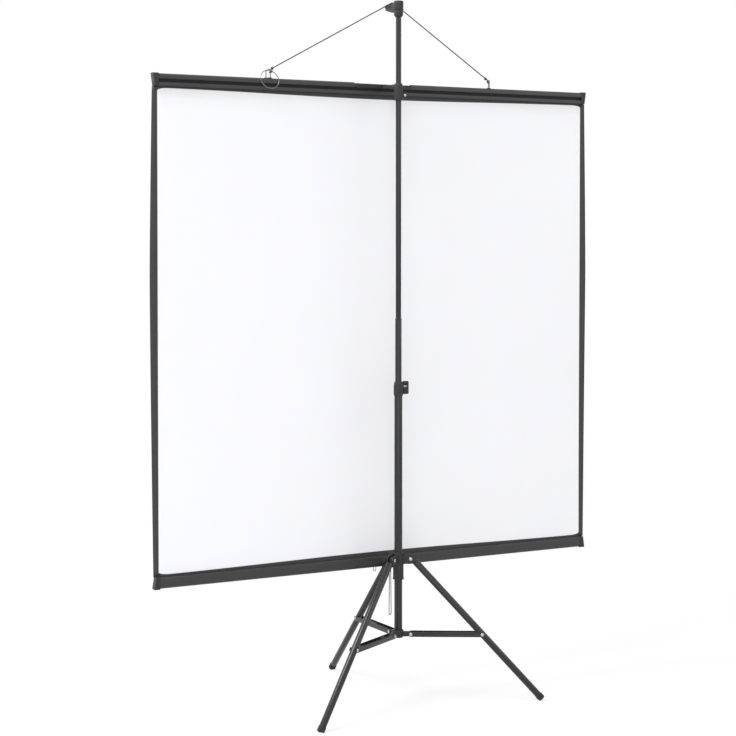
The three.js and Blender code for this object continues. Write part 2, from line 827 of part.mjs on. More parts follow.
function bottomRailOutline(grow, open) {
  const half = railHalfThickness + grow;
  const top = bottomRailTop + grow;
  const corner = railCorner + grow;
  const shape = new THREE.Shape();
  shape.absarc(0, bottomRailAxis, half, Math.PI, 2 * Math.PI);
  shape.absarc(half - corner, top - corner, corner, 0, Math.PI / 2);
  if (open) {
    shape.lineTo(railMouth / 2, top);
    const up = Math.PI / 2;
    shape.absarc(0, top - beadDepth, beadChamberRadius, up - mouthAngle, up + mouthAngle, true);
    shape.lineTo(-railMouth / 2, top);
  }
  shape.absarc(corner - half, top - corner, corner, Math.PI / 2, Math.PI);
  shape.closePath();
  return shape;
}

const strapFloor = topRailTop - strapRecess;
const seatFloor = topRailTop - seatRecess;

// A box across the rails' whole thickness
function acrossRail(halfLength, low, high) {
  const wide = railHalfThickness + overcut;
  return block([-halfLength, -wide, low], [halfLength, wide, high]);
}

function topBar() {
  const bar = rail(topRailOutline(0, true), -railHalfLength, railHalfLength);
  return cut(bar, acrossRail(strapHalfLength, seatFloor, topRailTop + overcut));
}

// The strap's black seat fills the lower part of the recess in the top rail's crown
function strapSeat() {
  const reach = strapHalfLength - fit;
  const core = rail(topRailOutline(0, false), -reach, reach);
  const below = acrossRail(strapHalfLength, topRailFoot - overcut, seatFloor + fit);
  const above = acrossRail(strapHalfLength, strapFloor, topRailTop + overcut);
  const holeFoot = strapFloor - strapRivetDepth - fit;
  const holes = [-strapRivetX, strapRivetX].map((x) =>
    rod(strapRivetRadius + fit, holeFoot, strapFloor + overcut, smallSides).translate(x, 0, 0),
  );
  return cut(core, below, above, ...holes);
}

function bottomBar() {
  const bar = rail(bottomRailOutline(0, true), -railHalfLength, railHalfLength);
  return cut(bar, acrossRail(gripHalfLength, bottomRailFoot - overcut, bottomRailFoot + gripHeight));
}

// The black grip completes the bottom rail's round foot
function bottomGrip() {
  const reach = gripHalfLength - fit;
  const core = rail(bottomRailOutline(0, false), -reach, reach);
  return cut(core, acrossRail(gripHalfLength, bottomRailFoot + gripHeight - fit, bottomRailTop + overcut));
}

// A cap's end face slants in from the rail's outer edge to the edge that holds the sheet
function endCap(outline, outerEdge, sheetEdge, side) {
  const away = Math.sign(outerEdge - sheetEdge);
  const outer = outerEdge + away * capProud;
  const inner = sheetEdge - away * capProud;
  const half = railHalfThickness + capProud;
  const section = roundedBox(-half, Math.min(outer, inner), half, Math.max(outer, inner), capCorner);
  const shell = rail(section, capMouth, capTip);
  const pocket = rail(outline(fit, false), capMouth - overcut, railHalfLength + fit);
  const wedge = new THREE.Shape();
  wedge.moveTo(capTip, outer);
  wedge.lineTo(capTip - capSlant, inner);
  wedge.lineTo(capTip + overcut, inner);
  wedge.lineTo(capTip + overcut, outer);
  wedge.closePath();
  return cut(shell, pocket, slab(wedge, 4 * half)).rotateZ(side < 0 ? Math.PI : 0);
}

const topBeadHeight = topRailFoot + beadDepth;
const bottomBeadHeight = bottomRailTop - beadDepth;

function beading(height) {
  const reach = railHalfLength - beadEndGap;
  return alongX(rod(beadRadius, -reach, reach, smallSides)).translate(0, 0, height);
}

// The sheet is one flat panel whose side edges bow out, tucked into both rails
function sheet() {
  const high = topRailFoot - capProud - fit;
  const low = bottomRailTop + capProud + fit;
  const tuckHigh = topBeadHeight - beadRadius - fit;
  const tuckLow = bottomBeadHeight + beadRadius + fit;
  const tuck = capMouth - sheetTuckGap;
  const side = [];
  for (let i = 0; i <= sheetSteps; i++) {
    const t = i / sheetSteps;
    const rise = Math.min(t / sheetBowHeight, (1 - t) / (1 - sheetBowHeight));
    const x = sheetHalfWidth + sheetBow * (1 - (1 - rise) ** sheetBowPower);
    side.push([x, low + (high - low) * t]);
  }
  const half = [[tuck, tuckLow], [tuck, low], ...side, [tuck, high], [tuck, tuckHigh]];
  const mirrored = half.toReversed().map(([x, z]) => [-x, z]);
  const outline = [...half, ...mirrored].map(([x, z]) => new THREE.Vector2(x, z));
  return slab(new THREE.Shape(outline), sheetThickness);
}

// Top bar fittings
const eyeletBase = topRailTop + fit + eyeletPlate;
const eyeletTop = eyeletBase + eyeletHeight;

// A wire staple on a small plate, standing along the bar
function eyelet() {
  const halfLength = eyeletPlateLength / 2;
  const halfWidth = eyeletPlateWidth / 2;
  const outline = roundedBox(-halfLength, -halfWidth, halfLength, halfWidth, halfWidth - edge);
  const base = plate(outline, eyeletPlate).translate(0, 0, eyeletBase - eyeletPlate);
  const bend = eyeletWidth / 2;
  const foot = eyeletBase - eyeletPlate / 2;
  return join(base, wire(staple(bend, foot, eyeletTop), eyeletWire, eyeletSteps));
}

// A staple's route in the X-Z plane: up or down one leg, round its end and back along the other leg
function staple(bend, foot, end) {
  const rise = Math.sign(end - foot);
  const shoulder = end - rise * bend;
  const corners = [[-bend, foot], [-bend, shoulder], [bend, shoulder], [bend, foot]];
  const [start, first, second, finishPoint] = corners.map(([x, z]) => new THREE.Vector3(x, 0, z));
  const route = new THREE.CurvePath();
  route.add(new THREE.LineCurve3(start, first));
  route.add(new HalfTurn(new THREE.Vector3(0, 0, shoulder), bend, rise));
  route.add(new THREE.LineCurve3(second, finishPoint));
  return route;
}

// Half a circle in the X-Z plane from -X to +X, over the top or, with rise -1, under it
class HalfTurn extends THREE.Curve {
  constructor(centre, radius, rise) {
    super();
    Object.assign(this, { centre, radius, rise });
  }
  getPoint(t, target = new THREE.Vector3()) {
    const angle = Math.PI * (1 - t);
    const across = this.radius * Math.cos(angle);
    const up = this.rise * this.radius * Math.sin(angle);
    return target.set(this.centre.x + across, this.centre.y, this.centre.z + up);
  }
}

// The storage ring hangs in the left eyelet and leans on the bar's back
function storageRing() {
  const ring = new THREE.TorusGeometry(ringRadius, ringWire, cordSides, ringSteps).rotateX(Math.PI / 2);
  ring.translate(0, 0, -ringRadius).rotateX(-radians(ringLean));
  return ring.translate(0, 0, eyeletTop - eyeletWire - ringWire - fit);
}

function carryStrap() {
  const halfLength = strapHalfLength - 2 * fit;
  const halfWidth = strapWidth / 2;
  const outline = roundedBox(-halfLength, -halfWidth, halfLength, halfWidth, strapCorner);
  for (const x of [-strapRivetX, strapRivetX])
    outline.holes.push(roundHole(x, 0, strapRivetRadius + fit));
  return plate(outline, strapThickness).translate(0, 0, strapFloor + fit);
}

function strapRivet() {
  const face = strapFloor + 2 * fit + strapThickness;
  return revolve([
    [0, strapFloor - strapRivetDepth],
    [strapRivetRadius, strapFloor - strapRivetDepth],
    [strapRivetRadius, face],
    [strapRivetHeadRadius, face],
    [strapRivetHeadRadius * domeShare, face + strapRivetHead],
    [0, face + strapRivetHead],
  ], smallSides);
}

// A route through given points, one step to a point
class PointRoute extends THREE.Curve {
  constructor(points) {
    super();
    this.points = points;
  }
  getUtoTmapping(u) {
    return u;
  }
  getPoint(t, target = new THREE.Vector3()) {
    const place = t * (this.points.length - 1);
    const before = Math.min(Math.floor(place), this.points.length - 2);
    return target.lerpVectors(this.points[before], this.points[before + 1], place - before);
  }
}

// The hanging cord: taut runs from both eyelets, bent over the saddle of the peg
function hangingCord() {
  const bend = pegRadius + cordRadius + fit;
  const reach = eyeletX - cordTie;
  const slope = Math.atan2(pegHeight + bend - eyeletTop, reach);
  const points = [new THREE.Vector3(-reach, screenY, eyeletTop)];
  for (let i = 0; i <= cordBendSteps; i++) {
    const angle = slope * ((2 * i) / cordBendSteps - 1);
    const x = bend * Math.sin(angle);
    const y = saddleY + (screenY - saddleY) * Math.abs(x / reach);
    points.push(new THREE.Vector3(x, y, pegHeight + bend * Math.cos(angle)));
  }
  points.push(new THREE.Vector3(reach, screenY, eyeletTop));
  return wire(new PointRoute(points), cordRadius, points.length - 1);
}

// Pull loop under the bottom bar, its clip, and a small wire eye beside it
const clipTop = bottomRailFoot - fit;
const clipFoot = clipTop - clipHeight;

function pullClip() {
  const halfLength = clipLength / 2;
  const saddle = bottomRailOutline(fit, false);
  const halfWidth = clipWidth / 2;
  const body = block([-halfLength, -halfWidth, clipFoot], [halfLength, halfWidth, clipTop + clipWrap]);
  return cut(body, rail(saddle, -clipLength, clipLength));
}

function pullLoop() {
  const start = clipFoot - fit;
  const foot = start - pullDrop;
  const strand = [
    [pullNeck, start],
    [pullNeck, start - pullDrop * 0.07],
    [pullNeck * 1.1, start - pullDrop * 0.3],
    [pullSpread * 0.85, start - pullDrop * 0.6],
    [pullSpread, foot + pullBend],
    [pullSpread * 0.75, foot + pullBend * 0.28],
  ];
  const mirrored = strand.map(([x, z]) => [-x, z]);
  const route = [...mirrored, [0, foot], ...strand.toReversed()];
  const points = route.map(([x, z]) => new THREE.Vector3(x, 0, z));
  return wire(new THREE.CatmullRomCurve3(points), pullCordRadius, pullSteps);
}

function bottomEye() {
  const sag = railHalfThickness - Math.sqrt(railHalfThickness ** 2 - bottomEyeWire ** 2);
  const start = bottomRailFoot + sag - fit;
  const route = staple(bottomEyeWidth / 2, start, start - bottomEyeDrop);
  return wire(route, bottomEyeWire, bottomEyeSteps);
}

// Assembly
const stand = new THREE.Group();
stand.add(
  mesh("lower_tube", lowerTube(), blackCoat),
  mesh("tube_plug", tubePlug(), blackPlastic),
  mesh("leg_hub", legHub(), blackPlastic),
  mesh("spreader_collar", spreaderCollar(), blackPlastic),
  mesh("clamp_collar", clampCollar(), blackPlastic),
  mesh("clamp_screw", clampScrew(), zinc),
  mesh("clamp_knob", clampKnob(), blackPlastic),
);
for (const side of Object.keys(legAzimuths)) stand.add(legAssembly(side));

const mast = new THREE.Group();
mast.add(
  mesh("middle_tube", middleTube(), blackCoat),
  mesh("middle_guide", guideRing(middleTubeRadius, lowerTubeBore, middleTubeFoot), nylon),
  mesh("middle_bush", middleBush(), blackPlastic),
  mesh("top_tube", topTube(), blackCoat),
  mesh("top_guide", topGuide(), nylon),
  mesh("head_cap", headCap(), blackPlastic),
  mesh("bar_holder", barHolder(), blackPlastic),
  mesh("holder_screw", holderScrew(), zinc),
);

const screen = new THREE.Group();
screen.position.y = screenY;
screen.add(
  mesh("top_bar", topBar(), railCoat),
  mesh("bottom_bar", bottomBar(), railCoat),
  mesh("top_beading", beading(topBeadHeight), nylon),
  mesh("bottom_beading", beading(bottomBeadHeight), nylon),
  mesh("sheet", sheet(), whiteSheet),
  mesh("strap_seat", strapSeat(), blackPlastic),
  mesh("carry_strap", carryStrap(), blackWebbing),
  mesh("bottom_grip", bottomGrip(), blackPlastic),
);
for (const [side, sign] of [["left", -1], ["right", 1]]) {
  const topCap = endCap(topRailOutline, topRailTop, topRailFoot, sign);
  const bottomCap = endCap(bottomRailOutline, bottomRailFoot, bottomRailTop, sign);
  screen.add(mesh(`top_cap_${side}`, topCap, blackPlastic));
  screen.add(mesh(`bottom_cap_${side}`, bottomCap, blackPlastic));
  const eye = mesh(`eyelet_${side}`, eyelet(), steel);
  eye.position.x = sign * eyeletX;
  eye.rotation.z = sign * radians(eyeletTurn);
  screen.add(eye);
  const strapPin = mesh(`strap_rivet_${side}`, strapRivet(), zinc);
  strapPin.position.x = sign * strapRivetX;
  screen.add(strapPin);
}
const ring = mesh("storage_ring", storageRing(), steel);
ring.position.x = -eyeletX;
screen.add(ring);
for (const [name, geometry, x, material] of [
  ["pull_clip", pullClip(), pullX, blackPlastic],
  ["pull_loop", pullLoop(), pullX, greyCord],
  ["bottom_eye", bottomEye(), bottomEyeX, steel],
]) {
  const piece = mesh(name, geometry, material);
  piece.position.x = x;
  screen.add(piece);
}

const projectionScreen = new THREE.Group();
projectionScreen.add(stand, mast, screen, mesh("hanging_cord", hangingCord(), greyCord));

// The frame's origin is on the floor, at the middle of the object's box
const box = new THREE.Box3().setFromObject(projectionScreen, true);
projectionScreen.position.y = -(box.min.y + box.max.y) / 2;

export default projectionScreen;
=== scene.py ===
# %% [markdown]
# # A tripod projection screen
#
# The screen is seen from behind: a telescopic mast on three folding legs carries a white sheet with
# black borders, stretched between two rails. A cord hangs the upper rail on the mast's head. The solids
# already have every size and every joint. The object could be modelled afresh, but its sizes would soon
# drift from the solids. So this lesson measures the solids and dresses them: smooth tubes and rails,
# cloth, cord and believable finishes.

import json

import bmesh
import bpy
import numpy as np
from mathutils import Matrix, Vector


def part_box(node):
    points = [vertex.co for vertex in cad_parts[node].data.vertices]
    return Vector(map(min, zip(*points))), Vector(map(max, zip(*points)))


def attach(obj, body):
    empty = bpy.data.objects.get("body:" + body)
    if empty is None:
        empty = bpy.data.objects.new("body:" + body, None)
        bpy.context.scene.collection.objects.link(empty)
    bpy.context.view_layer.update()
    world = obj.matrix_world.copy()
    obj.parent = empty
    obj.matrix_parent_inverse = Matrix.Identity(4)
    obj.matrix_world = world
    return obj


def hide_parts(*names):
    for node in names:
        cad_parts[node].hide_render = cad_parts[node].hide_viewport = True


MM = 0.001
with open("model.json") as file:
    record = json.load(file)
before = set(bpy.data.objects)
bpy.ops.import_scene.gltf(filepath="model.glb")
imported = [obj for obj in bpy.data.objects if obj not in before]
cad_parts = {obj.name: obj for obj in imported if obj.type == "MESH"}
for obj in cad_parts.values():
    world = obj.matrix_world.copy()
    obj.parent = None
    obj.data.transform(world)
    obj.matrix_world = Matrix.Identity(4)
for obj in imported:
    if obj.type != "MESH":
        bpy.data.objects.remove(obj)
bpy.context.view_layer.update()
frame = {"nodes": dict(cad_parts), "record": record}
record = frame["record"]
body_of_node = {node: body for body, nodes in record["behaviour"]["bodies"].items() for node in nodes}
slot_of_node = {row["node"]: row["material_slot"] for row in record["subparts"]}


def corners_of(node):
    """The lowest and the highest corner of a solid's box, as arrays."""
    low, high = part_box(node)
    return np.array(low), np.array(high)


# %% [markdown]
# ## The camera
#
# The picture was taken with a long lens, nearly level, from behind and to one side. A camera can be
# placed by eye and nudged until it looks right, but each nudge spoils the one before. Here the lens, the
# small tilt and the downward shift come from one fit of the rails, the mast and the feet to the picture.

# %% Camera
SENSOR_WIDTH = 36
LENS = 87.637
FRAME_SHIFT = -0.11
FAR_CLIP = 200
CAMERA_FROM_MAST = np.array([-2.7463, -4.8198, 1.4426])
DOWNWARD_TILT = 1.622
HEADING = -28.701

scene = bpy.context.scene
scene.view_settings.view_transform = "Standard"
mast_low, mast_high = corners_of("lower_tube")
MAST = np.array([0.0, (mast_low[1] + mast_high[1]) / 2, 0.0])

camera_data = bpy.data.cameras.new("picture_camera")
camera_data.sensor_width = SENSOR_WIDTH
camera_data.lens = LENS
camera_data.shift_y = FRAME_SHIFT
camera_data.clip_end = FAR_CLIP
camera = bpy.data.objects.new("picture_camera", camera_data)
camera.location = MAST + CAMERA_FROM_MAST
camera.rotation_euler = np.radians([90 - DOWNWARD_TILT, 0, HEADING])
scene.collection.objects.link(camera)
scene.camera = camera
print("camera", [round(x, 3) for x in camera.location])

# %% [markdown]
# ## Surfaces from arrays
#
# Nearly every piece is a grid of points: a profile turned round an axis, an outline carried along a
# path, or a sheet over two lengths. Primitives and modifiers could build them too, but a formula gives
# the exact size and any smoothness at once. One function turns a grid into a mesh. It merges the points
# that fall together at poles and seams, turns the faces outwards and keeps sharp edges sharp.

# %% Grid to mesh
MERGE_DISTANCE = 1e-7
SLIVER_LENGTH = 1e-8


def surface(name, points, wrap_u=True, wrap_v=False, uv_scale=(1, 1), sharp=40, solid=True):
    """Quads between neighbouring points[v, u]; wrap joins the last column or row to the first.

    The UV map is the share of the way round times uv_scale[0], and the row's share times uv_scale[1].
    """
    rows, columns = points.shape[:2]
    v, u = np.meshgrid(
        np.arange(rows if wrap_v else rows - 1),
        np.arange(columns if wrap_u else columns - 1),
        indexing="ij",
    )
    corner_v = np.stack([v, v, v + 1, v + 1], axis=-1)
    corner_u = np.stack([u, u + 1, u + 1, u], axis=-1)
    faces = (corner_v % rows) * columns + corner_u % columns
    mesh = bpy.data.meshes.new(name)
    mesh.from_pydata(points.reshape(-1, 3).tolist(), [], faces.reshape(-1, 4).tolist())
    uv = np.stack([corner_u / columns * uv_scale[0], corner_v / rows * uv_scale[1]], axis=-1)
    mesh.uv_layers.new(name="weave").data.foreach_set("uv", uv.astype(np.float32).ravel())
    work = bmesh.new()
    work.from_mesh(mesh)
    bmesh.ops.remove_doubles(work, verts=work.verts, dist=MERGE_DISTANCE)
    bmesh.ops.dissolve_degenerate(work, edges=work.edges, dist=SLIVER_LENGTH)
    if solid:
        bmesh.ops.recalc_face_normals(work, faces=work.faces)
    work.to_mesh(mesh)
    work.free()
    mesh.shade_smooth()
    mesh.set_sharp_from_angle(angle=np.radians(sharp))
    piece = bpy.data.objects.new(name, mesh)
    scene.collection.objects.link(piece)
    return piece


# %% [markdown]
# ## Profiles and paths
#
# Three helpers draw the grids: `rounded` softens an outline's corners, `turned` spins a profile as on a
# lathe, and `along_path` carries a circle along a wire or a cord. The Screw modifier and a curve's bevel
# do the same work. Arrays are used because their points stay at hand for measuring lengths and fits.


# %% Profiles and paths
def rounded(corners, radius, steps=5):
    """A closed outline whose corners are arcs: rational quadratics that start `radius` from a corner."""
    corners = np.asarray(corners, float)
    radius = np.broadcast_to(np.asarray(radius, float), len(corners))[:, None]
    sides = [np.roll(corners, shift, axis=0) - corners for shift in (1, -1)]
    lengths = [np.linalg.norm(side, axis=1, keepdims=True) for side in sides]
    reach = np.minimum(radius, 0.5 * np.minimum(*lengths))
    start, end = (corners + side / length * reach for side, length in zip(sides, lengths))
    t = np.linspace(0, 1, steps)[None, :, None]
    middle = 2 * np.sqrt(0.5) * t * (1 - t)
    weight = (1 - t) ** 2 + middle + t**2
    curve = (1 - t) ** 2 * start[:, None] + middle * corners[:, None] + t**2 * end[:, None]
    return (curve / weight).reshape(-1, corners.shape[1])


def turned(profile, sides=48):
    """Points[v, u] of a profile of (radius, height) pairs turned round Z."""
    profile = np.asarray(profile, float)
    angle = np.linspace(0, 2 * np.pi, sides, endpoint=False)
    radius = profile[:, :1]
    height = np.broadcast_to(profile[:, 1:], (len(profile), sides))
    return np.stack([radius * np.cos(angle), radius * np.sin(angle), height], axis=-1)


def along_path(path, radius, sides=12, closed=False, across=(0, 1, 0)):
    """Points[v, u] of a circle carried along a path; `across` is never parallel to the path.

    An open tube gets a row at each end with all its points in the middle, which closes it.
    """
    path = np.asarray(path, float)
    if closed:
        tangent = np.roll(path, -1, axis=0) - np.roll(path, 1, axis=0)
    else:
        tangent = np.gradient(path, axis=0)
    tangent /= np.linalg.norm(tangent, axis=1, keepdims=True)
    first = np.cross(tangent, np.asarray(across, float))
    first /= np.linalg.norm(first, axis=1, keepdims=True)
    second = np.cross(tangent, first)
    angle = np.linspace(0, 2 * np.pi, sides, endpoint=False)[None, :, None]
    ring = first[:, None] * np.cos(angle) + second[:, None] * np.sin(angle)
    tube = path[:, None] + radius * ring
    if closed:
        return tube
    ends = np.broadcast_to(path[[0, -1], None], (2, sides, 3))
    return np.concatenate([ends[:1], tube, ends[1:]])


def path_length(path):
    """The sum of the straight steps along a path."""
    return float(np.linalg.norm(np.diff(path, axis=0), axis=1).sum())


# %% [markdown]
# ## A piece and its solid
#
# A dressed piece takes the place of a solid: it moves with the same body and wears the same finish.
# Each could be set up by hand, but two small functions see to it that no step is forgotten.

# %% Standing for a solid
finishes = {}


def stand_for(piece, *nodes):
    """The piece replaces these solids, moves with their body and takes their finish."""
    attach(piece, body_of_node[nodes[0]])
    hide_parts(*nodes)
    piece.data.materials.append(finishes[slot_of_node[nodes[0]]])
    return piece


def join_to(piece, body, slot):
    """A piece without a solid of its own moves with a body and takes a finish by name."""
    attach(piece, body)
    piece.data.materials.append(finishes[slot])
    return piece


# %% [markdown]
# ## Finishes written as sums
#
# A shader can be drawn as boxes and lines, but arithmetic is easier to read and to change. `Value` wraps
# one socket: adding, multiplying or comparing values adds Math nodes.


# %% Shader arithmetic
class Value:
    """One socket of a node tree; arithmetic on it adds Math nodes."""

    def __init__(self, tree, socket):
        self.tree = tree
        self.socket = socket

    def math(self, operation, first, second=0.0, clamp=False):
        settings = {"operation": operation, "use_clamp": clamp}
        return self.tree.node("ShaderNodeMath", settings, {0: first, 1: second})

    def __add__(self, other):
        return self.math("ADD", self, other)

    def __sub__(self, other):
        return self.math("SUBTRACT", self, other)

    def __rsub__(self, other):
        return self.math("SUBTRACT", other, self)

    def __mul__(self, other):
        return self.math("MULTIPLY", self, other)

    def __truediv__(self, other):
        return self.math("DIVIDE", self, other)

    def __rtruediv__(self, other):
        return self.math("DIVIDE", other, self)

    def __abs__(self):
        return self.math("ABSOLUTE", self)

    def above(self, other):
        """The larger of two values."""
        return self.math("MAXIMUM", self, other)

    def sine(self):
        return self.math("SINE", self)

    def root(self):
        return self.math("SQRT", self)

    def share(self):
        """The value held between 0 and 1."""
        return self.math("ADD", self, 0.0, clamp=True)

    __radd__ = __add__
    __rmul__ = __mul__


# %% [markdown]
# A material is a tree with one Principled shader at its end. Every node, the Math nodes too, is made by
# `Tree.node`, so settings and links are made in one place. `Finish` adds short names for common nodes.


# %% Trees and finishes
class Tree:
    """A node tree, with short ways to add nodes."""

    def __init__(self, tree):
        self.tree = tree

    def feed(self, node, sockets):
        """Link a value to a socket, or set a constant on it."""
        for key, value in sockets.items():
            if isinstance(value, Value):
                self.tree.links.new(value.socket, node.inputs[key])
            else:
                node.inputs[key].default_value = value

    def node(self, kind, settings=None, sockets=None, out=0):
        """Add a node of a kind, apply its settings, feed its sockets and return one output."""
        node = self.tree.nodes.new(kind)
        for key, value in (settings or {}).items():
            setattr(node, key, value)
        self.feed(node, sockets or {})
        return Value(self, node.outputs[out])


class Finish(Tree):
    """A material: one Principled shader and the nodes that feed it."""

    def __init__(self, name, **shader):
        self.material = bpy.data.materials.new(name)
        self.material.use_nodes = True
        super().__init__(self.material.node_tree)
        self.shader = next(n for n in self.tree.nodes if n.type == "BSDF_PRINCIPLED")
        self.set(**shader)

    def set(self, **sockets):
        """Feed the shader's sockets by name: base_color is its Base Color, and so on."""
        names = {name: name.replace("_", " ").title().replace("Ior", "IOR") for name in sockets}
        self.feed(self.shader, {names[name]: value for name, value in sockets.items()})

    def place(self, scale=(1, 1, 1)):
        """Object coordinates, stretched."""
        spot = self.node("ShaderNodeTexCoord", out="Object")
        return self.node("ShaderNodeMapping", {}, {"Vector": spot, "Scale": scale})

    def axes(self, vector):
        """The three parts of a vector."""
        split = self.node("ShaderNodeSeparateXYZ", {}, {0: vector})
        return [Value(self, socket) for socket in split.socket.node.outputs]

    def noise(self, scale, detail=3, stretch=(1, 1, 1)):
        """Cloudy noise with about `scale` patches to a metre."""
        sockets = {"Vector": self.place(stretch), "Scale": scale, "Detail": detail}
        return self.node("ShaderNodeTexNoise", {}, sockets)

    def blend(self, share, first, second):
        """A colour between two others."""
        first, second = ((*c, 1) if isinstance(c, tuple) else c for c in (first, second))
        sockets = {0: share, 6: first, 7: second}
        return self.node("ShaderNodeMix", {"data_type": "RGBA"}, sockets, out=2)

    def bump(self, height, depth):
        """A normal that tips with a height of 0 to 1 times a depth in metres."""
        return self.node("ShaderNodeBump", {}, {"Height": height, "Distance": depth})


# %% [markdown]
# ## Powder coat
#
# The tubes and the braces have a satin black powder coat, which dries with a slight orange peel. A flat
# black would do from afar, but real coats vary a little in tone and gloss. So one noise mixes two
# near-blacks, a second one varies the roughness, and a fine bump breaks up the bright lines.

# %% Powder coat
ORANGE_PEEL = 0.06 * MM


def mottled(name, dark, light, patches, roughness, spread, specks, **shader):
    """Two colours mixed by one noise; a second noise adds up to `spread` to the roughness."""
    finish = Finish(name, **shader)
    finish.set(base_color=finish.blend(finish.noise(patches), dark, light))
    finish.set(roughness=roughness + spread * finish.noise(specks))
    return finish


coat = mottled(
    "black_powder_coat",
    dark=(0.011, 0.011, 0.012),
    light=(0.017, 0.017, 0.018),
    patches=18,
    roughness=0.19,
    spread=0.1,
    specks=60,
    ior=1.45,
)
coat.set(normal=coat.bump(coat.noise(900, detail=2), ORANGE_PEEL))
finishes["black_coat"] = coat.material
print("powder coat")

# %% [markdown]
# ## Plastic, rubber and nylon
#
# Hub, collar, clamp and caps are matt mouldings with a fine grain, the feet are dull rubber, and the
# guides inside the mast are pale nylon. They differ only in numbers, so one recipe serves them all.
# The grain is a bump, because it is far too fine to be worth any faces.

# %% Plastic, rubber and nylon
MOULD_GRAIN = 0.08 * MM
RUBBER_GRAIN = 0.12 * MM

plastic = mottled(
    "black_moulded_plastic",
    dark=(0.022, 0.022, 0.023),
    light=(0.032, 0.032, 0.033),
    patches=35,
    roughness=0.46,
    spread=0.16,
    specks=120,
    ior=1.35,
)
plastic.set(normal=plastic.bump(plastic.noise(2600), MOULD_GRAIN))
finishes["black_plastic"] = plastic.material

rubber = mottled(
    "black_rubber",
    dark=(0.012, 0.012, 0.012),
    light=(0.024, 0.024, 0.024),
    patches=80,
    roughness=0.7,
    spread=0.2,
    specks=200,
    ior=1.45,
)
rubber.set(normal=rubber.bump(rubber.noise(1400, detail=4), RUBBER_GRAIN))
finishes["rubber"] = rubber.material

nylon = mottled(
    "pale_nylon",
    dark=(0.62, 0.61, 0.57),
    light=(0.72, 0.71, 0.67),
    patches=60,
    roughness=0.4,
    spread=0.2,
    specks=200,
    ior=1.5,
)
finishes["nylon"] = nylon.material
print("plastic, rubber and nylon")

# %% [markdown]
# ## Rail paint and bare metal
#
# The rails are painted extrusions, so their faint marks run lengthwise: the noise is squeezed along X.
# In the top rail's grooves shade is painted into the colour, which goes near-black, and the paint is
# duller there. A mask image could darken them, but the height alone tells where a groove is. Rivets
# are bright zinc, and the wire fittings are greyer steel.

# %% Rail paint and metal
GROOVE_TOP = 15.5 * MM
GROOVE_HEIGHT = 11 * MM
GROOVE_HALF = GROOVE_HEIGHT / 2
GROOVE_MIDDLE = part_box("top_bar")[1][2] - GROOVE_TOP - GROOVE_HALF
SHADE_HEIGHT = 2.4
SHADE_SLOPE = 3
DRAWN_STRETCH = (0.01, 1, 1)
DRAWN_DEPTH = 0.04 * MM
RAIL_GREYS = (0.03, 0.03, 0.031), (0.04, 0.04, 0.041)
PAINTED_GROOVE_SHADE = (0.008, 0.008, 0.008)
RAIL_ROUGHNESS = 0.36
DRAWN_DULLNESS = 0.18
GROOVE_DULLNESS = 0.3


def rail_paint():
    """Dark grey paint, with shade painted into each groove; it falls off in a straight line from the
    groove's middle.
    """
    finish = Finish("dark_rail_paint", ior=1.42)
    drawn = finish.noise(700, detail=2, stretch=DRAWN_STRETCH)
    patches = finish.blend(finish.noise(9), *RAIL_GREYS)
    _, _, z = finish.axes(finish.place())
    # Painted shade: the colour goes near-black in the middle of each groove, where its flanks would shade
    # it.
    shade = (SHADE_HEIGHT - SHADE_SLOPE * abs(z - GROOVE_MIDDLE) / GROOVE_HALF).share()
    finish.set(base_color=finish.blend(shade, patches, PAINTED_GROOVE_SHADE))
    finish.set(roughness=RAIL_ROUGHNESS + DRAWN_DULLNESS * drawn + GROOVE_DULLNESS * shade)
    finish.set(normal=finish.bump(drawn, DRAWN_DEPTH))
    return finish.material


def metal(name, dull, bright):
    """A bare metal that is duller in small specks."""
    sizes = {"patches": 300, "roughness": 0.2, "spread": 0.2, "specks": 500}
    return mottled(name, dull, bright, **sizes, metallic=1.0).material


finishes["rail"] = rail_paint()
finishes["zinc"] = metal("bright_zinc", (0.4, 0.4, 0.415), (0.52, 0.52, 0.53))
finishes["steel"] = metal("grey_steel", (0.13, 0.13, 0.135), (0.24, 0.24, 0.245))
print("groove middle at", round(GROOVE_MIDDLE, 4))

# %% [markdown]
# ## White cloth with black borders
#
# The sheet is white, with borders printed black on both sides: wide at the sides, thin along the rails
# and rounded at the inner corners. The borders could be separate strips of cloth, but they are print,
# so one expression draws them: outside a rectangle with elliptic corners the cloth is black. The thin
# borders dip a little in the middle, by the square of a sine.

# %% Sheet finish
BORDER_HALF_WIDTH = 0.7565
CORNER_ACROSS = 0.035
CORNER_UP = 0.008
WHITE_MIDDLE = 1.16
WHITE_HALF_HEIGHT = 0.711
BAND_DIP = 0.0078
BORDER_SHARPNESS = 12
CLOTH_WHITES = (0.86, 0.862, 0.885), (0.9, 0.902, 0.925)
INK_BLACKS = (0.03, 0.03, 0.031), (0.042, 0.042, 0.043)
CLOTH_ROUGHNESS = 0.88
INK_GLOSS = 0.33
THREAD_PITCH = 1.1 * MM
THREAD_DEPTH = 0.03 * MM


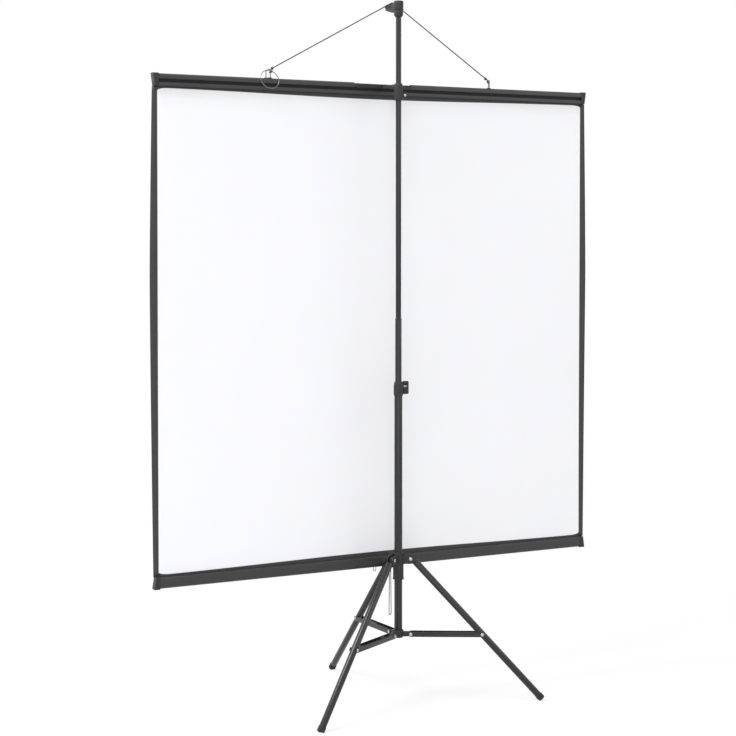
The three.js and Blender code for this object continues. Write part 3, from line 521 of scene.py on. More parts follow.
def sheet_cloth():
    """Black where (across / corner)^2 + (up / corner)^2 is over 1, white elsewhere."""
    finish = Finish("white_sheet", ior=1.42)
    x, _, z = finish.axes(finish.place())
    outward = abs(x)
    sideways = (outward * (np.pi / 2 / BORDER_HALF_WIDTH)).sine()
    band = WHITE_HALF_HEIGHT + BAND_DIP * sideways * sideways
    across = ((outward - (BORDER_HALF_WIDTH - CORNER_ACROSS)) / CORNER_ACROSS).above(0)
    upright = ((abs(z - WHITE_MIDDLE) - band + CORNER_UP) / CORNER_UP).above(0)
    outside = across * across + upright * upright - 1
    black = (outside * BORDER_SHARPNESS + 0.5).share()
    white = finish.blend(finish.noise(1.6, detail=2), *CLOTH_WHITES)
    ink = finish.blend(finish.noise(25), *INK_BLACKS)
    finish.set(base_color=finish.blend(black, white, ink))
    finish.set(roughness=CLOTH_ROUGHNESS - INK_GLOSS * black)
    thread = 2 * np.pi / THREAD_PITCH
    weave = (x * thread).sine() * (z * thread).sine()
    finish.set(normal=finish.bump(weave, THREAD_DEPTH))
    return finish.material


finishes["sheet"] = sheet_cloth()
print("white area", round(2 * BORDER_HALF_WIDTH, 3), "m wide")

# %% [markdown]
# ## Cord and webbing
#
# Cords and the carry strap are woven. A pattern on object coordinates would cut straight through a cord
# that turns a corner, so this one follows the UV map along each piece. Two slanting waves multiplied
# give the crossing strands, and the same value feeds the colour and the bump.

# %% Woven finishes
STRAND_DEPTH = 0.3 * MM


def woven(name, dark, light, turns, roughness):
    """Strands that cross each other: the product of two slanting waves over the UV map."""
    finish = Finish(name, ior=1.4)
    around, along, _ = finish.axes(finish.node("ShaderNodeUVMap", {"uv_map": "weave"}))
    slope = 2 * np.pi * turns
    strands = abs((around * slope + along).sine() * (around * slope - along).sine())
    finish.set(base_color=finish.blend(strands, dark, light))
    finish.set(roughness=roughness + 0.1 * finish.noise(400))
    finish.set(normal=finish.bump(strands, STRAND_DEPTH))
    return finish.material


cord_colours = {"dark": (0.03, 0.03, 0.031), "light": (0.1, 0.1, 0.102)}
webbing_colours = {"dark": (0.012, 0.012, 0.013), "light": (0.035, 0.035, 0.036)}
finishes["cord"] = woven("grey_cord", **cord_colours, turns=4, roughness=0.8)
finishes["webbing"] = woven("black_webbing", **webbing_colours, turns=6, roughness=0.75)
for name, node in frame["nodes"].items():
    node.data.materials.clear()
    node.data.materials.append(finishes[slot_of_node[name]])
print(len(finishes), "finishes")

# %% [markdown]
# ## The hanging cord
#
# The cord is tied in one eyelet, runs up over the saddle of the head's peg and down to the other eyelet.
# A rope simulation would settle into the same shape, but the screen's weight keeps this cord taut, so
# its route is known: two straight runs and a short arc about the peg. The arc's ends meet the runs
# without a kink, because the arc stops where its slope is the runs' slope.

# %% Hanging cord
FIT = 0.3 * MM
CORD_RADIUS = 1.75 * MM
BRAID_PITCH = 4 * MM
WIRE_RADIUS = 1.6 * MM
EYELET_X = 396 * MM
EYELET_TURN = np.radians(45)
EYELET_HALF = 7 * MM
TIE_X = EYELET_X - 6.5 * MM
PEG_RADIUS = 9 * MM
PEG_HEIGHT = 2155 * MM
SADDLE_Y = MAST[1] + 37 * MM
eyelet_low, eyelet_high = corners_of("eyelet_right")
SHEET_Y = (eyelet_low[1] + eyelet_high[1]) / 2
WIRE_TOP = eyelet_high[2] - WIRE_RADIUS
bend = PEG_RADIUS + CORD_RADIUS + FIT
slope = np.arctan2(PEG_HEIGHT + bend - WIRE_TOP, TIE_X)

arc = np.linspace(-slope, slope, 13)
arc_x = bend * np.sin(arc)
arc_y = SADDLE_Y + (SHEET_Y - SADDLE_Y) * np.abs(arc_x / TIE_X)
over_peg = np.stack([arc_x, arc_y, PEG_HEIGHT + bend * np.cos(arc)], axis=1)
left_tie = np.array([-TIE_X, SHEET_Y, WIRE_TOP])
right_tie = left_tie * [-1, 1, 1]
share = np.linspace(0, 1, 12, endpoint=False)[:, None]
left_run = left_tie + (over_peg[0] - left_tie) * share
right_run = (right_tie + (over_peg[-1] - right_tie) * share)[::-1]
cord_path = np.concatenate([left_run, over_peg, right_run])
cord_length = path_length(cord_path)
cord_weave = (1, 2 * np.pi * cord_length / BRAID_PITCH)
hanging_cord = surface("hanging_cord_braid", along_path(cord_path, CORD_RADIUS), uv_scale=cord_weave)
print("cord length", round(cord_length, 4))

# %% [markdown]
# ## The knots
#
# Each end is passed round a leg of its eyelet and tied. A ball would pass for a knot from afar, but its
# smooth outline gives it away. So the loop is a ring of cord about the wire, and the knot is a trefoil,
# the closed curve of an overhand knot, drawn tight, with a short tail that sags.

# %% Knots
KNOT_SIZE = 1.3 * MM
KNOT_RISE = 8 * MM
KNOT_RADIUS = 0.8 * CORD_RADIUS
KNOT_DEPTH = 1.4
LOOP_RADIUS = WIRE_RADIUS + CORD_RADIUS + 0.1 * MM
LOOP_DROP = 9 * MM
TAIL_OUT = 6 * MM
TAIL_BACK = 9 * MM
TAIL_SAG = 14 * MM
END_SIDES = 10
# Once round each piece, and this many radians of braid along it
LOOP_WEAVE = (1, 1)
NECK_WEAVE = (1, 20)
KNOT_WEAVE = (1, 60)
TAIL_WEAVE = (1, 30)
turn = np.linspace(0, 2 * np.pi, 73)[:-1]
drop = np.linspace(0, 1, 9)[:, None]
trefoil_x = np.sin(turn) + 2 * np.sin(2 * turn)
trefoil_y = np.cos(turn) - 2 * np.cos(2 * turn)
trefoil = np.stack([trefoil_x, trefoil_y, -KNOT_DEPTH * np.sin(3 * turn)], axis=1)
peg_crown = over_peg[len(over_peg) // 2]


def ring_of_cord(name, path, radius, across, weave):
    """A closed cord along a path."""
    return surface(name, along_path(path, radius, END_SIDES, True, across), wrap_v=True, uv_scale=weave)


def stretch_of_cord(name, path, across, weave):
    """An open cord along a path."""
    return surface(name, along_path(path, CORD_RADIUS, END_SIDES, False, across), uv_scale=weave)


cord_ends = []
for side, sign, tie in (("left", -1, left_tie), ("right", 1, right_tie)):
    uphill = peg_crown - tie
    uphill /= np.linalg.norm(uphill)
    inward = np.array([-sign * np.cos(EYELET_TURN), -np.sin(EYELET_TURN), 0])
    aside = np.array([-sign * np.sin(EYELET_TURN), np.cos(EYELET_TURN), 0])
    loop_spot = np.array([sign * EYELET_X, SHEET_Y, WIRE_TOP - LOOP_DROP]) + EYELET_HALF * inward
    circle = np.outer(np.cos(turn), aside) + np.outer(np.sin(turn), inward)
    loop_path = loop_spot + LOOP_RADIUS * circle
    loop = ring_of_cord(f"cord_loop_{side}", loop_path, CORD_RADIUS, (0, 0, 1), LOOP_WEAVE)
    neck_path = loop_path[0] + drop * (tie - loop_path[0])
    neck = stretch_of_cord(f"cord_neck_{side}", neck_path, (0, 1, 0), NECK_WEAVE)
    knot_axes = np.stack([np.cross(uphill, [0, 1, 0]), np.array([0, 1.0, 0]), uphill])
    knot_spot = tie + KNOT_RISE * uphill
    knot_path = knot_spot + KNOT_SIZE * trefoil @ knot_axes
    knot = ring_of_cord(f"cord_knot_{side}", knot_path, KNOT_RADIUS, uphill, KNOT_WEAVE)
    tail_path = knot_spot + drop * [sign * TAIL_OUT, -TAIL_BACK, 0] - drop**2 * [0, 0, TAIL_SAG]
    tail = stretch_of_cord(f"cord_tail_{side}", tail_path, (1, 0, 0), TAIL_WEAVE)
    cord_ends += [join_to(piece, "screen", "cord") for piece in (loop, neck, knot, tail)]

stand_for(hanging_cord, "hanging_cord")
print(len(cord_ends), "pieces at the cord's ends")

# %% [markdown]
# ## The pull loop
#
# A loop of thin cord hangs from a clip under the bottom rail, for pulling the screen open. It could be
# draped by a simulation, but it hangs still and only its spread matters. So its route is a smooth curve
# through a few points of one strand and the same points mirrored.

# %% Pull loop
PULL_RADIUS = 1.25 * MM
PULL_DROP = 150 * MM
PULL_PITCH = 3.5 * MM
clip_low, clip_high = corners_of("pull_clip")
PULL_X = (clip_low[0] + clip_high[0]) / 2
PULL_TOP = clip_low[2] - FIT


def smooth_route(knots, steps):
    """A Catmull-Rom curve: each stretch is a cubic whose slopes are half its neighbours' difference."""
    padded = np.concatenate([2 * knots[:1] - knots[1:2], knots, 2 * knots[-1:] - knots[-2:-1]])
    p0, p1, p2, p3 = (padded[i : len(padded) - 3 + i, None] for i in range(4))
    t = np.linspace(0, 1, steps, endpoint=False)[None, :, None]
    curve = p1 + t * (p2 - p0) / 2 + t**2 * (p0 - 2.5 * p1 + 2 * p2 - p3 / 2)
    curve = curve + t**3 * (1.5 * (p1 - p2) + (p3 - p0) / 2)
    return np.concatenate([curve.reshape(-1, knots.shape[1]), knots[-1:]])


# Millimetres from the loop's middle, and down from the clip
strand = np.array([[2.6, 0], [2.6, 10.5], [2.86, 45], [3.23, 90], [3.8, 140], [2.85, 147.2]]) * MM
loop_points = np.concatenate([strand * [-1, 1], [[0, PULL_DROP]], strand[::-1]])
aside, down = smooth_route(loop_points, 5).T
pull_path = np.stack([PULL_X + aside, np.full(len(aside), SHEET_Y), PULL_TOP - down], axis=1)
pull_length = path_length(pull_path)
pull_weave = (1, 2 * np.pi * pull_length / PULL_PITCH)
pull_loop = surface("pull_loop_braid", along_path(pull_path, PULL_RADIUS, 10), uv_scale=pull_weave)
stand_for(pull_loop, "pull_loop")
print("pull loop length", round(pull_length, 4))

# %% [markdown]
# ## The sheet
#
# The sheet hangs from the top rail and the bottom rail's weight stretches it. Its side edges bow out by
# a few millimetres, and it is never quite flat: shallow waves and a slight curl of the edges die out at
# the rails. A cloth simulation would need many frames for such a shape. The formula gives it at once and
# the same each time, and Solidify adds the cloth's thickness.

# %% Sheet
SHEET_HALF = 773.5 * MM
SHEET_BOW = 8 * MM
BOW_HEIGHT = 0.615
BOW_POWER = 1.25
SHEET_THICKNESS = 0.7 * MM
BROAD_WAVE = 0.9 * MM
BROAD_ACROSS = 3.1
BROAD_UP = 2.2
FINE_WAVE = 0.5 * MM
FINE_ACROSS = 9
FINE_UP = -5
EDGE_CURL = 2.2 * MM
CURL_POWER = 14
CALM_POWER = 0.7
SHEET_ROWS = 119
SHEET_COLUMNS = 141
TUCK_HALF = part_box("top_cap_right")[0][0] - 0.4 * MM
sheet_low, sheet_high = corners_of("sheet")
shoulders = np.array([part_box("bottom_cap_right")[1][2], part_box("top_cap_right")[0][2]])

panel_rows = np.linspace(*shoulders, SHEET_ROWS)
height = np.concatenate([[sheet_low[2], shoulders[0]], panel_rows, [shoulders[1], sheet_high[2]]])
tucked = np.isin(np.arange(len(height)), [0, 1, len(height) - 2, len(height) - 1])
height_share = ((height - shoulders[0]) / np.ptp(shoulders)).clip(0, 1)[:, None]
width_share = np.linspace(-1, 1, SHEET_COLUMNS)[None, :]
rise = np.minimum(height_share / BOW_HEIGHT, (1 - height_share) / (1 - BOW_HEIGHT))
half_width = SHEET_HALF + SHEET_BOW * (1 - (1 - rise) ** BOW_POWER)
half_width[tucked] = TUCK_HALF
calm = np.sin(np.pi * height_share) ** CALM_POWER
broad = BROAD_WAVE * np.sin(BROAD_ACROSS * width_share + BROAD_UP * height_share)
fine = FINE_WAVE * np.sin(FINE_ACROSS * width_share + FINE_UP * height_share)
curl = EDGE_CURL * np.abs(width_share) ** CURL_POWER
sheet_x = half_width * width_share
sheet_y = SHEET_Y + calm * (broad + fine + curl)
sheet_z = np.broadcast_to(height[:, None], sheet_x.shape)
cloth_points = np.stack([sheet_x, sheet_y, sheet_z], axis=-1)
sheet = surface("sheet_cloth", cloth_points, wrap_u=False, solid=False)
thicken = sheet.modifiers.new("thickness", "SOLIDIFY")
thicken.thickness = SHEET_THICKNESS
thicken.offset = 0
stand_for(sheet, "sheet")

# %% [markdown]
# ## The rails
#
# Both rails are extrusions: one outline in Y and Z carried along X. The top rail has a round crown, a
# groove along each side and a recess for the carry strap. The bottom rail has a half-round foot with a
# recess for its grip.

# %% Outlines of the rails
RAIL_HALF = 10 * MM
CROWN = 8 * MM
GROOVE_DEPTH = 6 * MM
GROOVE_SLOPE = 2 * MM
GROOVE_ARC = 0.6 * MM
MOUTH_ARC = 1.2 * MM
top_low, top_high = corners_of("top_bar")
foot_low, foot_high = corners_of("bottom_bar")


def top_outline():
    """The top rail's outline: a round crown, and a groove with slanting flanks along each side."""
    groove_high = top_high[2] - GROOVE_TOP
    groove_low = groove_high - GROOVE_HEIGHT
    inset = RAIL_HALF - GROOVE_DEPTH
    groove = [(inset, groove_low + GROOVE_SLOPE), (inset, groove_high - GROOVE_SLOPE)]
    side = [(RAIL_HALF, top_low[2]), (RAIL_HALF, groove_low), *groove, (RAIL_HALF, groove_high)]
    corners = [*side, (RAIL_HALF, top_high[2])]
    arcs = [MOUTH_ARC, *[GROOVE_ARC] * 4, CROWN]
    corners += [(-y, z) for y, z in corners[::-1]]
    return rounded(corners, [*arcs, *arcs[::-1]], 7)


def boxed(low, high, grow, arcs):
    """A box about the sheet's plane, grown outwards; arcs are its lower and its upper corners'."""
    half = RAIL_HALF + grow
    corners = [(half, low - grow), (half, high + grow), (-half, high + grow), (-half, low - grow)]
    return rounded(corners, [arcs[0], arcs[1], arcs[1], arcs[0]], 9)


def carried(outlines, stations):
    """Points[v, u]: outline v of (Y, Z) pairs, set at station v along X."""
    outlines = np.stack(outlines)
    across = np.broadcast_to(np.asarray(stations)[:, None], outlines.shape[:2])
    return np.stack([across, outlines[..., 0] + SHEET_Y, outlines[..., 1]], axis=-1)


def pole(outline):
    """An outline drawn together in its middle, which closes an end."""
    return np.broadcast_to(outline.mean(axis=0), outline.shape)


def rail_with_recess(name, outline, recessed, half):
    """A rail whose outline changes to the recessed one over the middle length."""
    reach = top_high[0]
    stations = [-reach, -reach, -half, -half, half, half, reach, reach]
    outlines = [pole(outline), outline, outline, recessed, recessed, outline, outline, pole(outline)]
    return surface(name, carried(outlines, stations), sharp=30)


# %% [markdown]
# A Boolean could cut the recesses, but it leaves ragged faces. A recessed outline is the same outline with
# its heights held below the seat, or above the grip, so both have as many points and join cleanly.

# %% Rails
STRAP_HALF = 102 * MM
SEAT_RECESS = 14 * MM
GRIP_HALF = 103 * MM
GRIP_HEIGHT = 9.5 * MM
RAIL_CORNER = 3 * MM

crowned = top_outline()
seat_height = np.minimum(crowned[:, 1], top_high[2] - SEAT_RECESS)
seat_outline = np.stack([crowned[:, 0], seat_height], axis=1)
top_rail = rail_with_recess("top_rail_paint", crowned, seat_outline, STRAP_HALF)
stand_for(top_rail, "top_bar")

footed = boxed(foot_low[2], foot_high[2], 0, (RAIL_HALF, RAIL_CORNER))
grip_height = np.maximum(footed[:, 1], foot_low[2] + GRIP_HEIGHT)
grip_outline = np.stack([footed[:, 0], grip_height], axis=1)
bottom_rail = rail_with_recess("bottom_rail_paint", footed, grip_outline, GRIP_HALF)
stand_for(bottom_rail, "bottom_bar")
print("rails", round(2 * top_high[0], 3), "m long")

# %% [markdown]
# ## The end caps
#
# Moulded caps slip over the rails' ends. Plain boxes would look the same from the side, but the open
# mouth shows where a cap meets its rail. So a cap is a shell: it starts at the pocket's end, comes out to
# the mouth, turns back over a small lip and closes with a face that slants in to the sheet.

# %% End caps
CAP_SLANT = 5.6 * MM
CAP_CORNER = 2 * MM
CAP_EDGE = 0.7 * MM
cap_low, cap_high = corners_of("top_cap_right")
CAP_PROUD = top_low[2] - cap_low[2]
cap_mouth = cap_low[0]
cap_tip = cap_high[0]
pocket_end = top_high[0] + FIT
cap_stations = [pocket_end, pocket_end, cap_mouth, cap_mouth]
cap_stations += [cap_mouth + CAP_EDGE, cap_tip - CAP_EDGE, cap_tip, cap_tip]
slanting = np.array([0, 0, 0, 0, 0, 1, 1, 1])[:, None]
for rail, low, high, arcs in (
    ("top", top_low[2], top_high[2], (MOUTH_ARC, CROWN)),
    ("bottom", foot_low[2], foot_high[2], (RAIL_HALF, RAIL_CORNER)),
):
    pocket = boxed(low, high, FIT, arcs)
    lip = boxed(low, high, CAP_PROUD - CAP_EDGE, (CAP_CORNER, CAP_CORNER))
    skin = boxed(low, high, CAP_PROUD, (CAP_CORNER, CAP_CORNER))
    rings = [pole(pocket), pocket, pocket, lip, skin, skin, lip, pole(lip)]
    shell = carried(rings, cap_stations)
    up_share = (shell[..., 2] - low + CAP_PROUD) / (high - low + 2 * CAP_PROUD)
    to_sheet = 1 - up_share if rail == "top" else up_share
    shell[..., 0] -= CAP_SLANT * slanting * to_sheet
    for side, sign in (("left", -1), ("right", 1)):
        cap = surface(f"{rail}_cap_{side}_moulding", shell * [sign, 1, 1])
        stand_for(cap, f"{rail}_cap_{side}")
print("end caps stand", round(CAP_PROUD / MM, 2), "mm proud")

# %% [markdown]
# ## The mast's tubes
#
# Three thin-walled tubes slide in one another. A cylinder would show a solid end where a smaller tube
# leaves a larger one. So each is a closed profile of outer wall, lip, inner wall and lip, turned round
# the mast, and the rounded lips catch a thin line of light.

# %% Mast tubes
TUBE_LIP = 0.4 * MM
TUBE_WALLS = {"lower_tube": 1.2 * MM, "middle_tube": 0.7 * MM, "top_tube": 1.0 * MM}


def tube_profile(radius, wall, low, high):
    """A wall's section as (radius, height) pairs, with rounded lips."""
    corners = [(radius, low), (radius, high), (radius - wall, high), (radius - wall, low)]
    return rounded(corners, TUBE_LIP, 3)


for node, wall in TUBE_WALLS.items():
    low, high = corners_of(node)
    profile = tube_profile((high[0] - low[0]) / 2, wall, low[2], high[2])
    stand_for(surface(f"{node}_coat", turned(profile) + MAST, wrap_v=True), node)
    print(node, round((high[0] - low[0]) / MM, 2), "mm wide")

# %% [markdown]
# ## Legs and feet
#
# The three legs are alike. They could be copies of one object, turned and tipped, but a finish on object
# coordinates would then turn too. So the points are drawn for an upright leg below its pivot, tipped
# outwards and swung round the mast. The floor cuts each rubber foot flat.

# %% Legs and feet
LEG_AZIMUTHS = {"right": -30, "left": 210, "front": 90}
LEG_TILT = np.radians(42.7)
LEG_PIVOT = np.array([38.4, 0, 441]) * MM
LEG_OFFSET = np.array([4.2, 0, 0]) * MM
LEG_RADIUS = 10.5 * MM
LEG_WALL = 1.2 * MM
LEG_START = 17 * MM
HEEL_HEIGHT = 4.5 * MM
SOLE_THICKNESS = 6 * MM
FOOT_PROUD = 1.1 * MM
FOOT_HEIGHT = 16 * MM
PIVOT_TO_AXIS = LEG_PIVOT[2] + LEG_OFFSET[0] * np.sin(LEG_TILT)
SOLE_END = (PIVOT_TO_AXIS - HEEL_HEIGHT) / np.cos(LEG_TILT)
TUBE_END = SOLE_END - SOLE_THICKNESS
FOOT_BORE = LEG_RADIUS + FIT
FOOT_RADIUS = LEG_RADIUS + FOOT_PROUD
FOOT_TOP = -SOLE_END + FOOT_HEIGHT
FOOT_ARCS = np.array([0, 2, 0.6, 0.2, 0, 0]) * MM


def swung(points, side):
    """Points drawn for a leg along X, turned about the mast to the leg's own direction."""
    turn = np.radians(LEG_AZIMUTHS[side])
    x, y, z = np.moveaxis(points, -1, 0)
    round_mast = [x * np.cos(turn) - y * np.sin(turn), x * np.sin(turn) + y * np.cos(turn), z]
    return np.stack(round_mast, axis=-1) + MAST


def tipped(points, side):
    """Points drawn for an upright leg below its pivot, tipped outwards and swung round the mast."""
    x, y, z = np.moveaxis(points + LEG_OFFSET, -1, 0)
    tip_x = x * np.cos(LEG_TILT) - z * np.sin(LEG_TILT)
    tip_z = x * np.sin(LEG_TILT) + z * np.cos(LEG_TILT)
    return swung(np.stack([tip_x, y, tip_z], axis=-1) + LEG_PIVOT, side)


foot_corners = [(0, -SOLE_END), (FOOT_RADIUS, -SOLE_END), (FOOT_RADIUS, FOOT_TOP)]
foot_corners += [(FOOT_BORE, FOOT_TOP), (FOOT_BORE, -TUBE_END - FIT), (0, -TUBE_END - FIT)]
foot_profile = rounded(foot_corners, FOOT_ARCS, 5)
leg_profile = tube_profile(LEG_RADIUS, LEG_WALL, -TUBE_END, -LEG_START)
for side in LEG_AZIMUTHS:
    leg = surface(f"leg_tube_{side}_coat", tipped(turned(leg_profile), side), wrap_v=True)
    stand_for(leg, f"leg_tube_{side}")
    boot = tipped(turned(foot_profile), side)
    boot[..., 2] = np.maximum(boot[..., 2], 0)
    stand_for(surface(f"leg_foot_{side}_rubber", boot, wrap_v=True, sharp=50), f"leg_foot_{side}")
print("legs", round(float(TUBE_END - LEG_START), 4), "m long")

# %% [markdown]
# ## Rivets
#
# Every pin is a turned profile with a domed head. A flat disc would do for its size, but only a dome
# catches a small round light from every side. It is a quarter ellipse from the head's rim to its top.
# Pins at the hub and the collar have two heads, and the outer ones are headed on one side each.

# %% Rivets
RIVET_RADIUS = 3 * MM
HEAD_RADIUS = 5.5 * MM
HEAD_HEIGHT = 2 * MM
RIVET_SIDES = 24
FLANGES = {"a": 1, "b": -1}
LUG_Y = 10.5 * MM
BRACE_Y = LEG_RADIUS + 2 * MM
SHANK_Y = BRACE_Y - 1.35 * MM
inner_spot = np.array([38.7, 0, 206]) * MM
leg_run = (PIVOT_TO_AXIS - inner_spot[2]) / np.cos(LEG_TILT)
outer_x = LEG_PIVOT[0] + LEG_OFFSET[0] * np.cos(LEG_TILT) + leg_run * np.sin(LEG_TILT)
outer_spot = np.array([outer_x, 0, inner_spot[2]])


def dome(radius, base, height, steps=8):
    """Quarter ellipse of (radius, height) pairs from the rim up to the axis."""
    angle = np.linspace(0, np.pi / 2, steps)
    return np.stack([radius * np.cos(angle), base + height * np.sin(angle)], axis=1)


def one_headed(shank_start, face):
    """A shank from shank_start to a head's face, then the head."""
    shank = [(0, shank_start), (RIVET_RADIUS, shank_start), (RIVET_RADIUS, face)]
    return np.concatenate([shank, dome(HEAD_RADIUS, face, HEAD_HEIGHT)])


def two_headed(face):
    """Half a shank and a head, and the same mirrored below."""
    half = np.concatenate([[(RIVET_RADIUS, face)], dome(HEAD_RADIUS, face, HEAD_HEIGHT)])
    return np.concatenate([(half * [1, -1])[::-1], half])


def across_leg(profile, spot, side, flip):
    """A profile turned round Y, on one or the other side of a leg's plane, at a spot in that plane."""
    x, y, z = np.moveaxis(turned(profile, RIVET_SIDES), -1, 0)
    return swung(np.stack([x, flip * z, y], axis=-1) + spot, side)


hub_pin = two_headed(LUG_Y + FIT)
spreader_pin = two_headed(BRACE_Y + FIT)
brace_rivet = one_headed(SHANK_Y, BRACE_Y + FIT)
pins = {"hub_pin": (hub_pin, LEG_PIVOT), "spreader_pin": (spreader_pin, inner_spot)}
for side in LEG_AZIMUTHS:
    for name, (profile, spot) in pins.items():
        points = across_leg(profile, spot, side, 1)
        stand_for(surface(f"{name}_{side}_zinc", points), f"{name}_{side}")
    for end, flip in FLANGES.items():
        points = across_leg(brace_rivet, outer_spot, side, flip)
        stand_for(surface(f"brace_rivet_{side}_{end}_zinc", points), f"brace_rivet_{side}_{end}")
print("outer rivets", round(float(outer_x), 4), "m from the mast")

# %% [markdown]
# ## Ribs of the braces
#
# Each brace is a pressed channel, and a narrow rib stiffens each flange: it shows as a fine bright line.
# A bump would give the line but no outline from the side, so a thin rod is sunk into each flange.

# %% Ribs
RIB_RADIUS = 1.2 * MM
RIB_GAP = 16 * MM
RIB_Y = BRACE_Y - 0.5 * MM
flanges = [(side, end, flip) for side in LEG_AZIMUTHS for end, flip in FLANGES.items()]
rib_x = np.linspace(inner_spot[0] + RIB_GAP, outer_spot[0] - RIB_GAP, 9)
for side, end, flip in flanges:
    rib_path = np.stack([rib_x, 0 * rib_x + flip * RIB_Y, 0 * rib_x + inner_spot[2]], axis=1)
    rib = surface(f"brace_rib_{side}_{end}", swung(along_path(rib_path, RIB_RADIUS), side))
    join_to(rib, f"brace_{side}", "black_coat")
print(len(flanges), "ribs")

# %% [markdown]
# ## Mouldings and brackets
#
# The hub, the collar, the knuckles, the clamp and the head were drawn with sharp edges. Real mouldings
# have small radii that catch the light. Drawing each again as a grid would only repeat its solid, so the
# solid is copied, its triangles are joined to flat faces, and a narrow Bevel softens its edges.

# %% Softened solids
SEAM_DISTANCE = 2e-6
FLAT_ANGLE = np.radians(0.5)
EDGE_ANGLE = np.radians(38)


def softened(node, width):
    """A copy of a solid with merged points, flat faces joined and bevelled edges."""
    mesh = frame["nodes"][node].data.copy()
    mesh.materials.clear()
    work = bmesh.new()
    work.from_mesh(mesh)
    bmesh.ops.remove_doubles(work, verts=work.verts, dist=SEAM_DISTANCE)
    bmesh.ops.dissolve_limit(work, angle_limit=FLAT_ANGLE, verts=work.verts, edges=work.edges)
    work.to_mesh(mesh)
    work.free()
    mesh.shade_smooth()
    piece = bpy.data.objects.new(f"{node}_soft", mesh)
    scene.collection.objects.link(piece)
    bevel = piece.modifiers.new("edges", "BEVEL")
    bevel.width = width
    bevel.segments = 2
    bevel.limit_method = "ANGLE"
    bevel.angle_limit = EDGE_ANGLE
    bevel.harden_normals = True
    bevel.use_clamp_overlap = True
    return stand_for(piece, node)


# Widths in millimetres
soft_edges = {
    "leg_hub": 0.7,
    "spreader_collar": 0.6,
    "clamp_collar": 0.6,
    "clamp_knob": 2.0,
    "clamp_screw": 0.4,
    "bar_holder": 0.6,
    "holder_screw": 0.4,
    "head_cap": 0.6,
    "tube_plug": 0.4,
    "middle_bush": 0.2,
    "pull_clip": 0.6,
    "strap_seat": 0.4,
    "bottom_grip": 0.4,
}
soft_edges |= {f"leg_knuckle_{side}": 0.7 for side in LEG_AZIMUTHS}
soft_edges |= {f"brace_{side}": 0.35 for side in LEG_AZIMUTHS}
soft_edges |= {f"strap_rivet_{side}": 0.3 for side in ("left", "right")}
for node, width in soft_edges.items():
    softened(node, width * MM)
print(len(soft_edges), "softened solids")

# %% [markdown]
# ## The eyelets
#
# Each eyelet is a staple of bent wire on a small plate, turned half across the rail. A curve with a round
# bevel would bend as well, but the cord is tied to this wire, so its route is worked out as points from
# the cord's own values: up one leg, round half a circle and down the other.

# %% Eyelets
PLATE_HALF_LENGTH = 14 * MM
PLATE_HALF_WIDTH = 5 * MM
PLATE_CORNER = 4.6 * MM
WIRE_SIDES = 14
WIRE_LIFT = 1 * MM
eyelet_foot = eyelet_low[2]
# Each ring of the plate: its share of the outline, and its height in millimetres
plate_rings = np.array([(0, 0), (0.93, 0), (1, 0.3), (1, 1.7), (0.93, 2), (0, 2)])
plate_corners = np.array([(1, 1), (-1, 1), (-1, -1), (1, -1)]) * [PLATE_HALF_LENGTH, PLATE_HALF_WIDTH]
plate_outline = rounded(plate_corners, PLATE_CORNER, 7)


def staple_path(bend, foot, end, steps=13):
    """Up one leg, round half a circle and down the other leg, as (across, height) pairs."""
    rise = np.sign(end - foot)
    shoulder = end - rise * bend
    angle = np.linspace(np.pi, 0, steps)
    arc = np.stack([bend * np.cos(angle), shoulder + rise * bend * np.sin(angle)], axis=1)
    leg = np.linspace(foot, shoulder, 5)[:-1]
    up = np.stack([np.full(len(leg), -bend), leg], axis=1)
    return np.concatenate([up, arc, (up * [-1, 1])[::-1]])


def at_eyelet(sign, across, aside, height):
    """Points along and beside an eyelet's wire, turned to its direction and set in its place."""
    way_x = np.cos(EYELET_TURN)
    way_y = sign * np.sin(EYELET_TURN)
    x = sign * EYELET_X + across * way_x - aside * way_y
    y = SHEET_Y + across * way_y + aside * way_x
    return np.stack(np.broadcast_arrays(x, y, height), axis=-1)


for side, sign in (("left", -1), ("right", 1)):
    across, height = staple_path(EYELET_HALF, eyelet_foot + WIRE_LIFT, WIRE_TOP).T
    route = at_eyelet(sign, across, 0, height)
    facing = (-sign * np.sin(EYELET_TURN), np.cos(EYELET_TURN), 0)
    wire = surface(f"eyelet_wire_{side}", along_path(route, WIRE_RADIUS, WIRE_SIDES, False, facing))
    spread = plate_rings[:, :1]
    plate_z = eyelet_foot + plate_rings[:, 1:] * MM
    plate_points = at_eyelet(sign, spread * plate_outline[:, 0], spread * plate_outline[:, 1], plate_z)
    plate = surface(f"eyelet_plate_{side}", plate_points)
    stand_for(wire, f"eyelet_{side}")
    join_to(plate, "screen", "steel")
print("eyelets", round((WIRE_TOP - eyelet_foot) / MM, 1), "mm high")

# %% [markdown]
# ## The storage ring and the bottom eye
#
# The storage ring hangs in the left eyelet and leans on the rail. A torus would do, but it would need
# turning and placing, while points can be written down in their place: a circle whose depth below the
# eyelet is shared between down and back. The eye under the bottom rail is a small staple upside down.

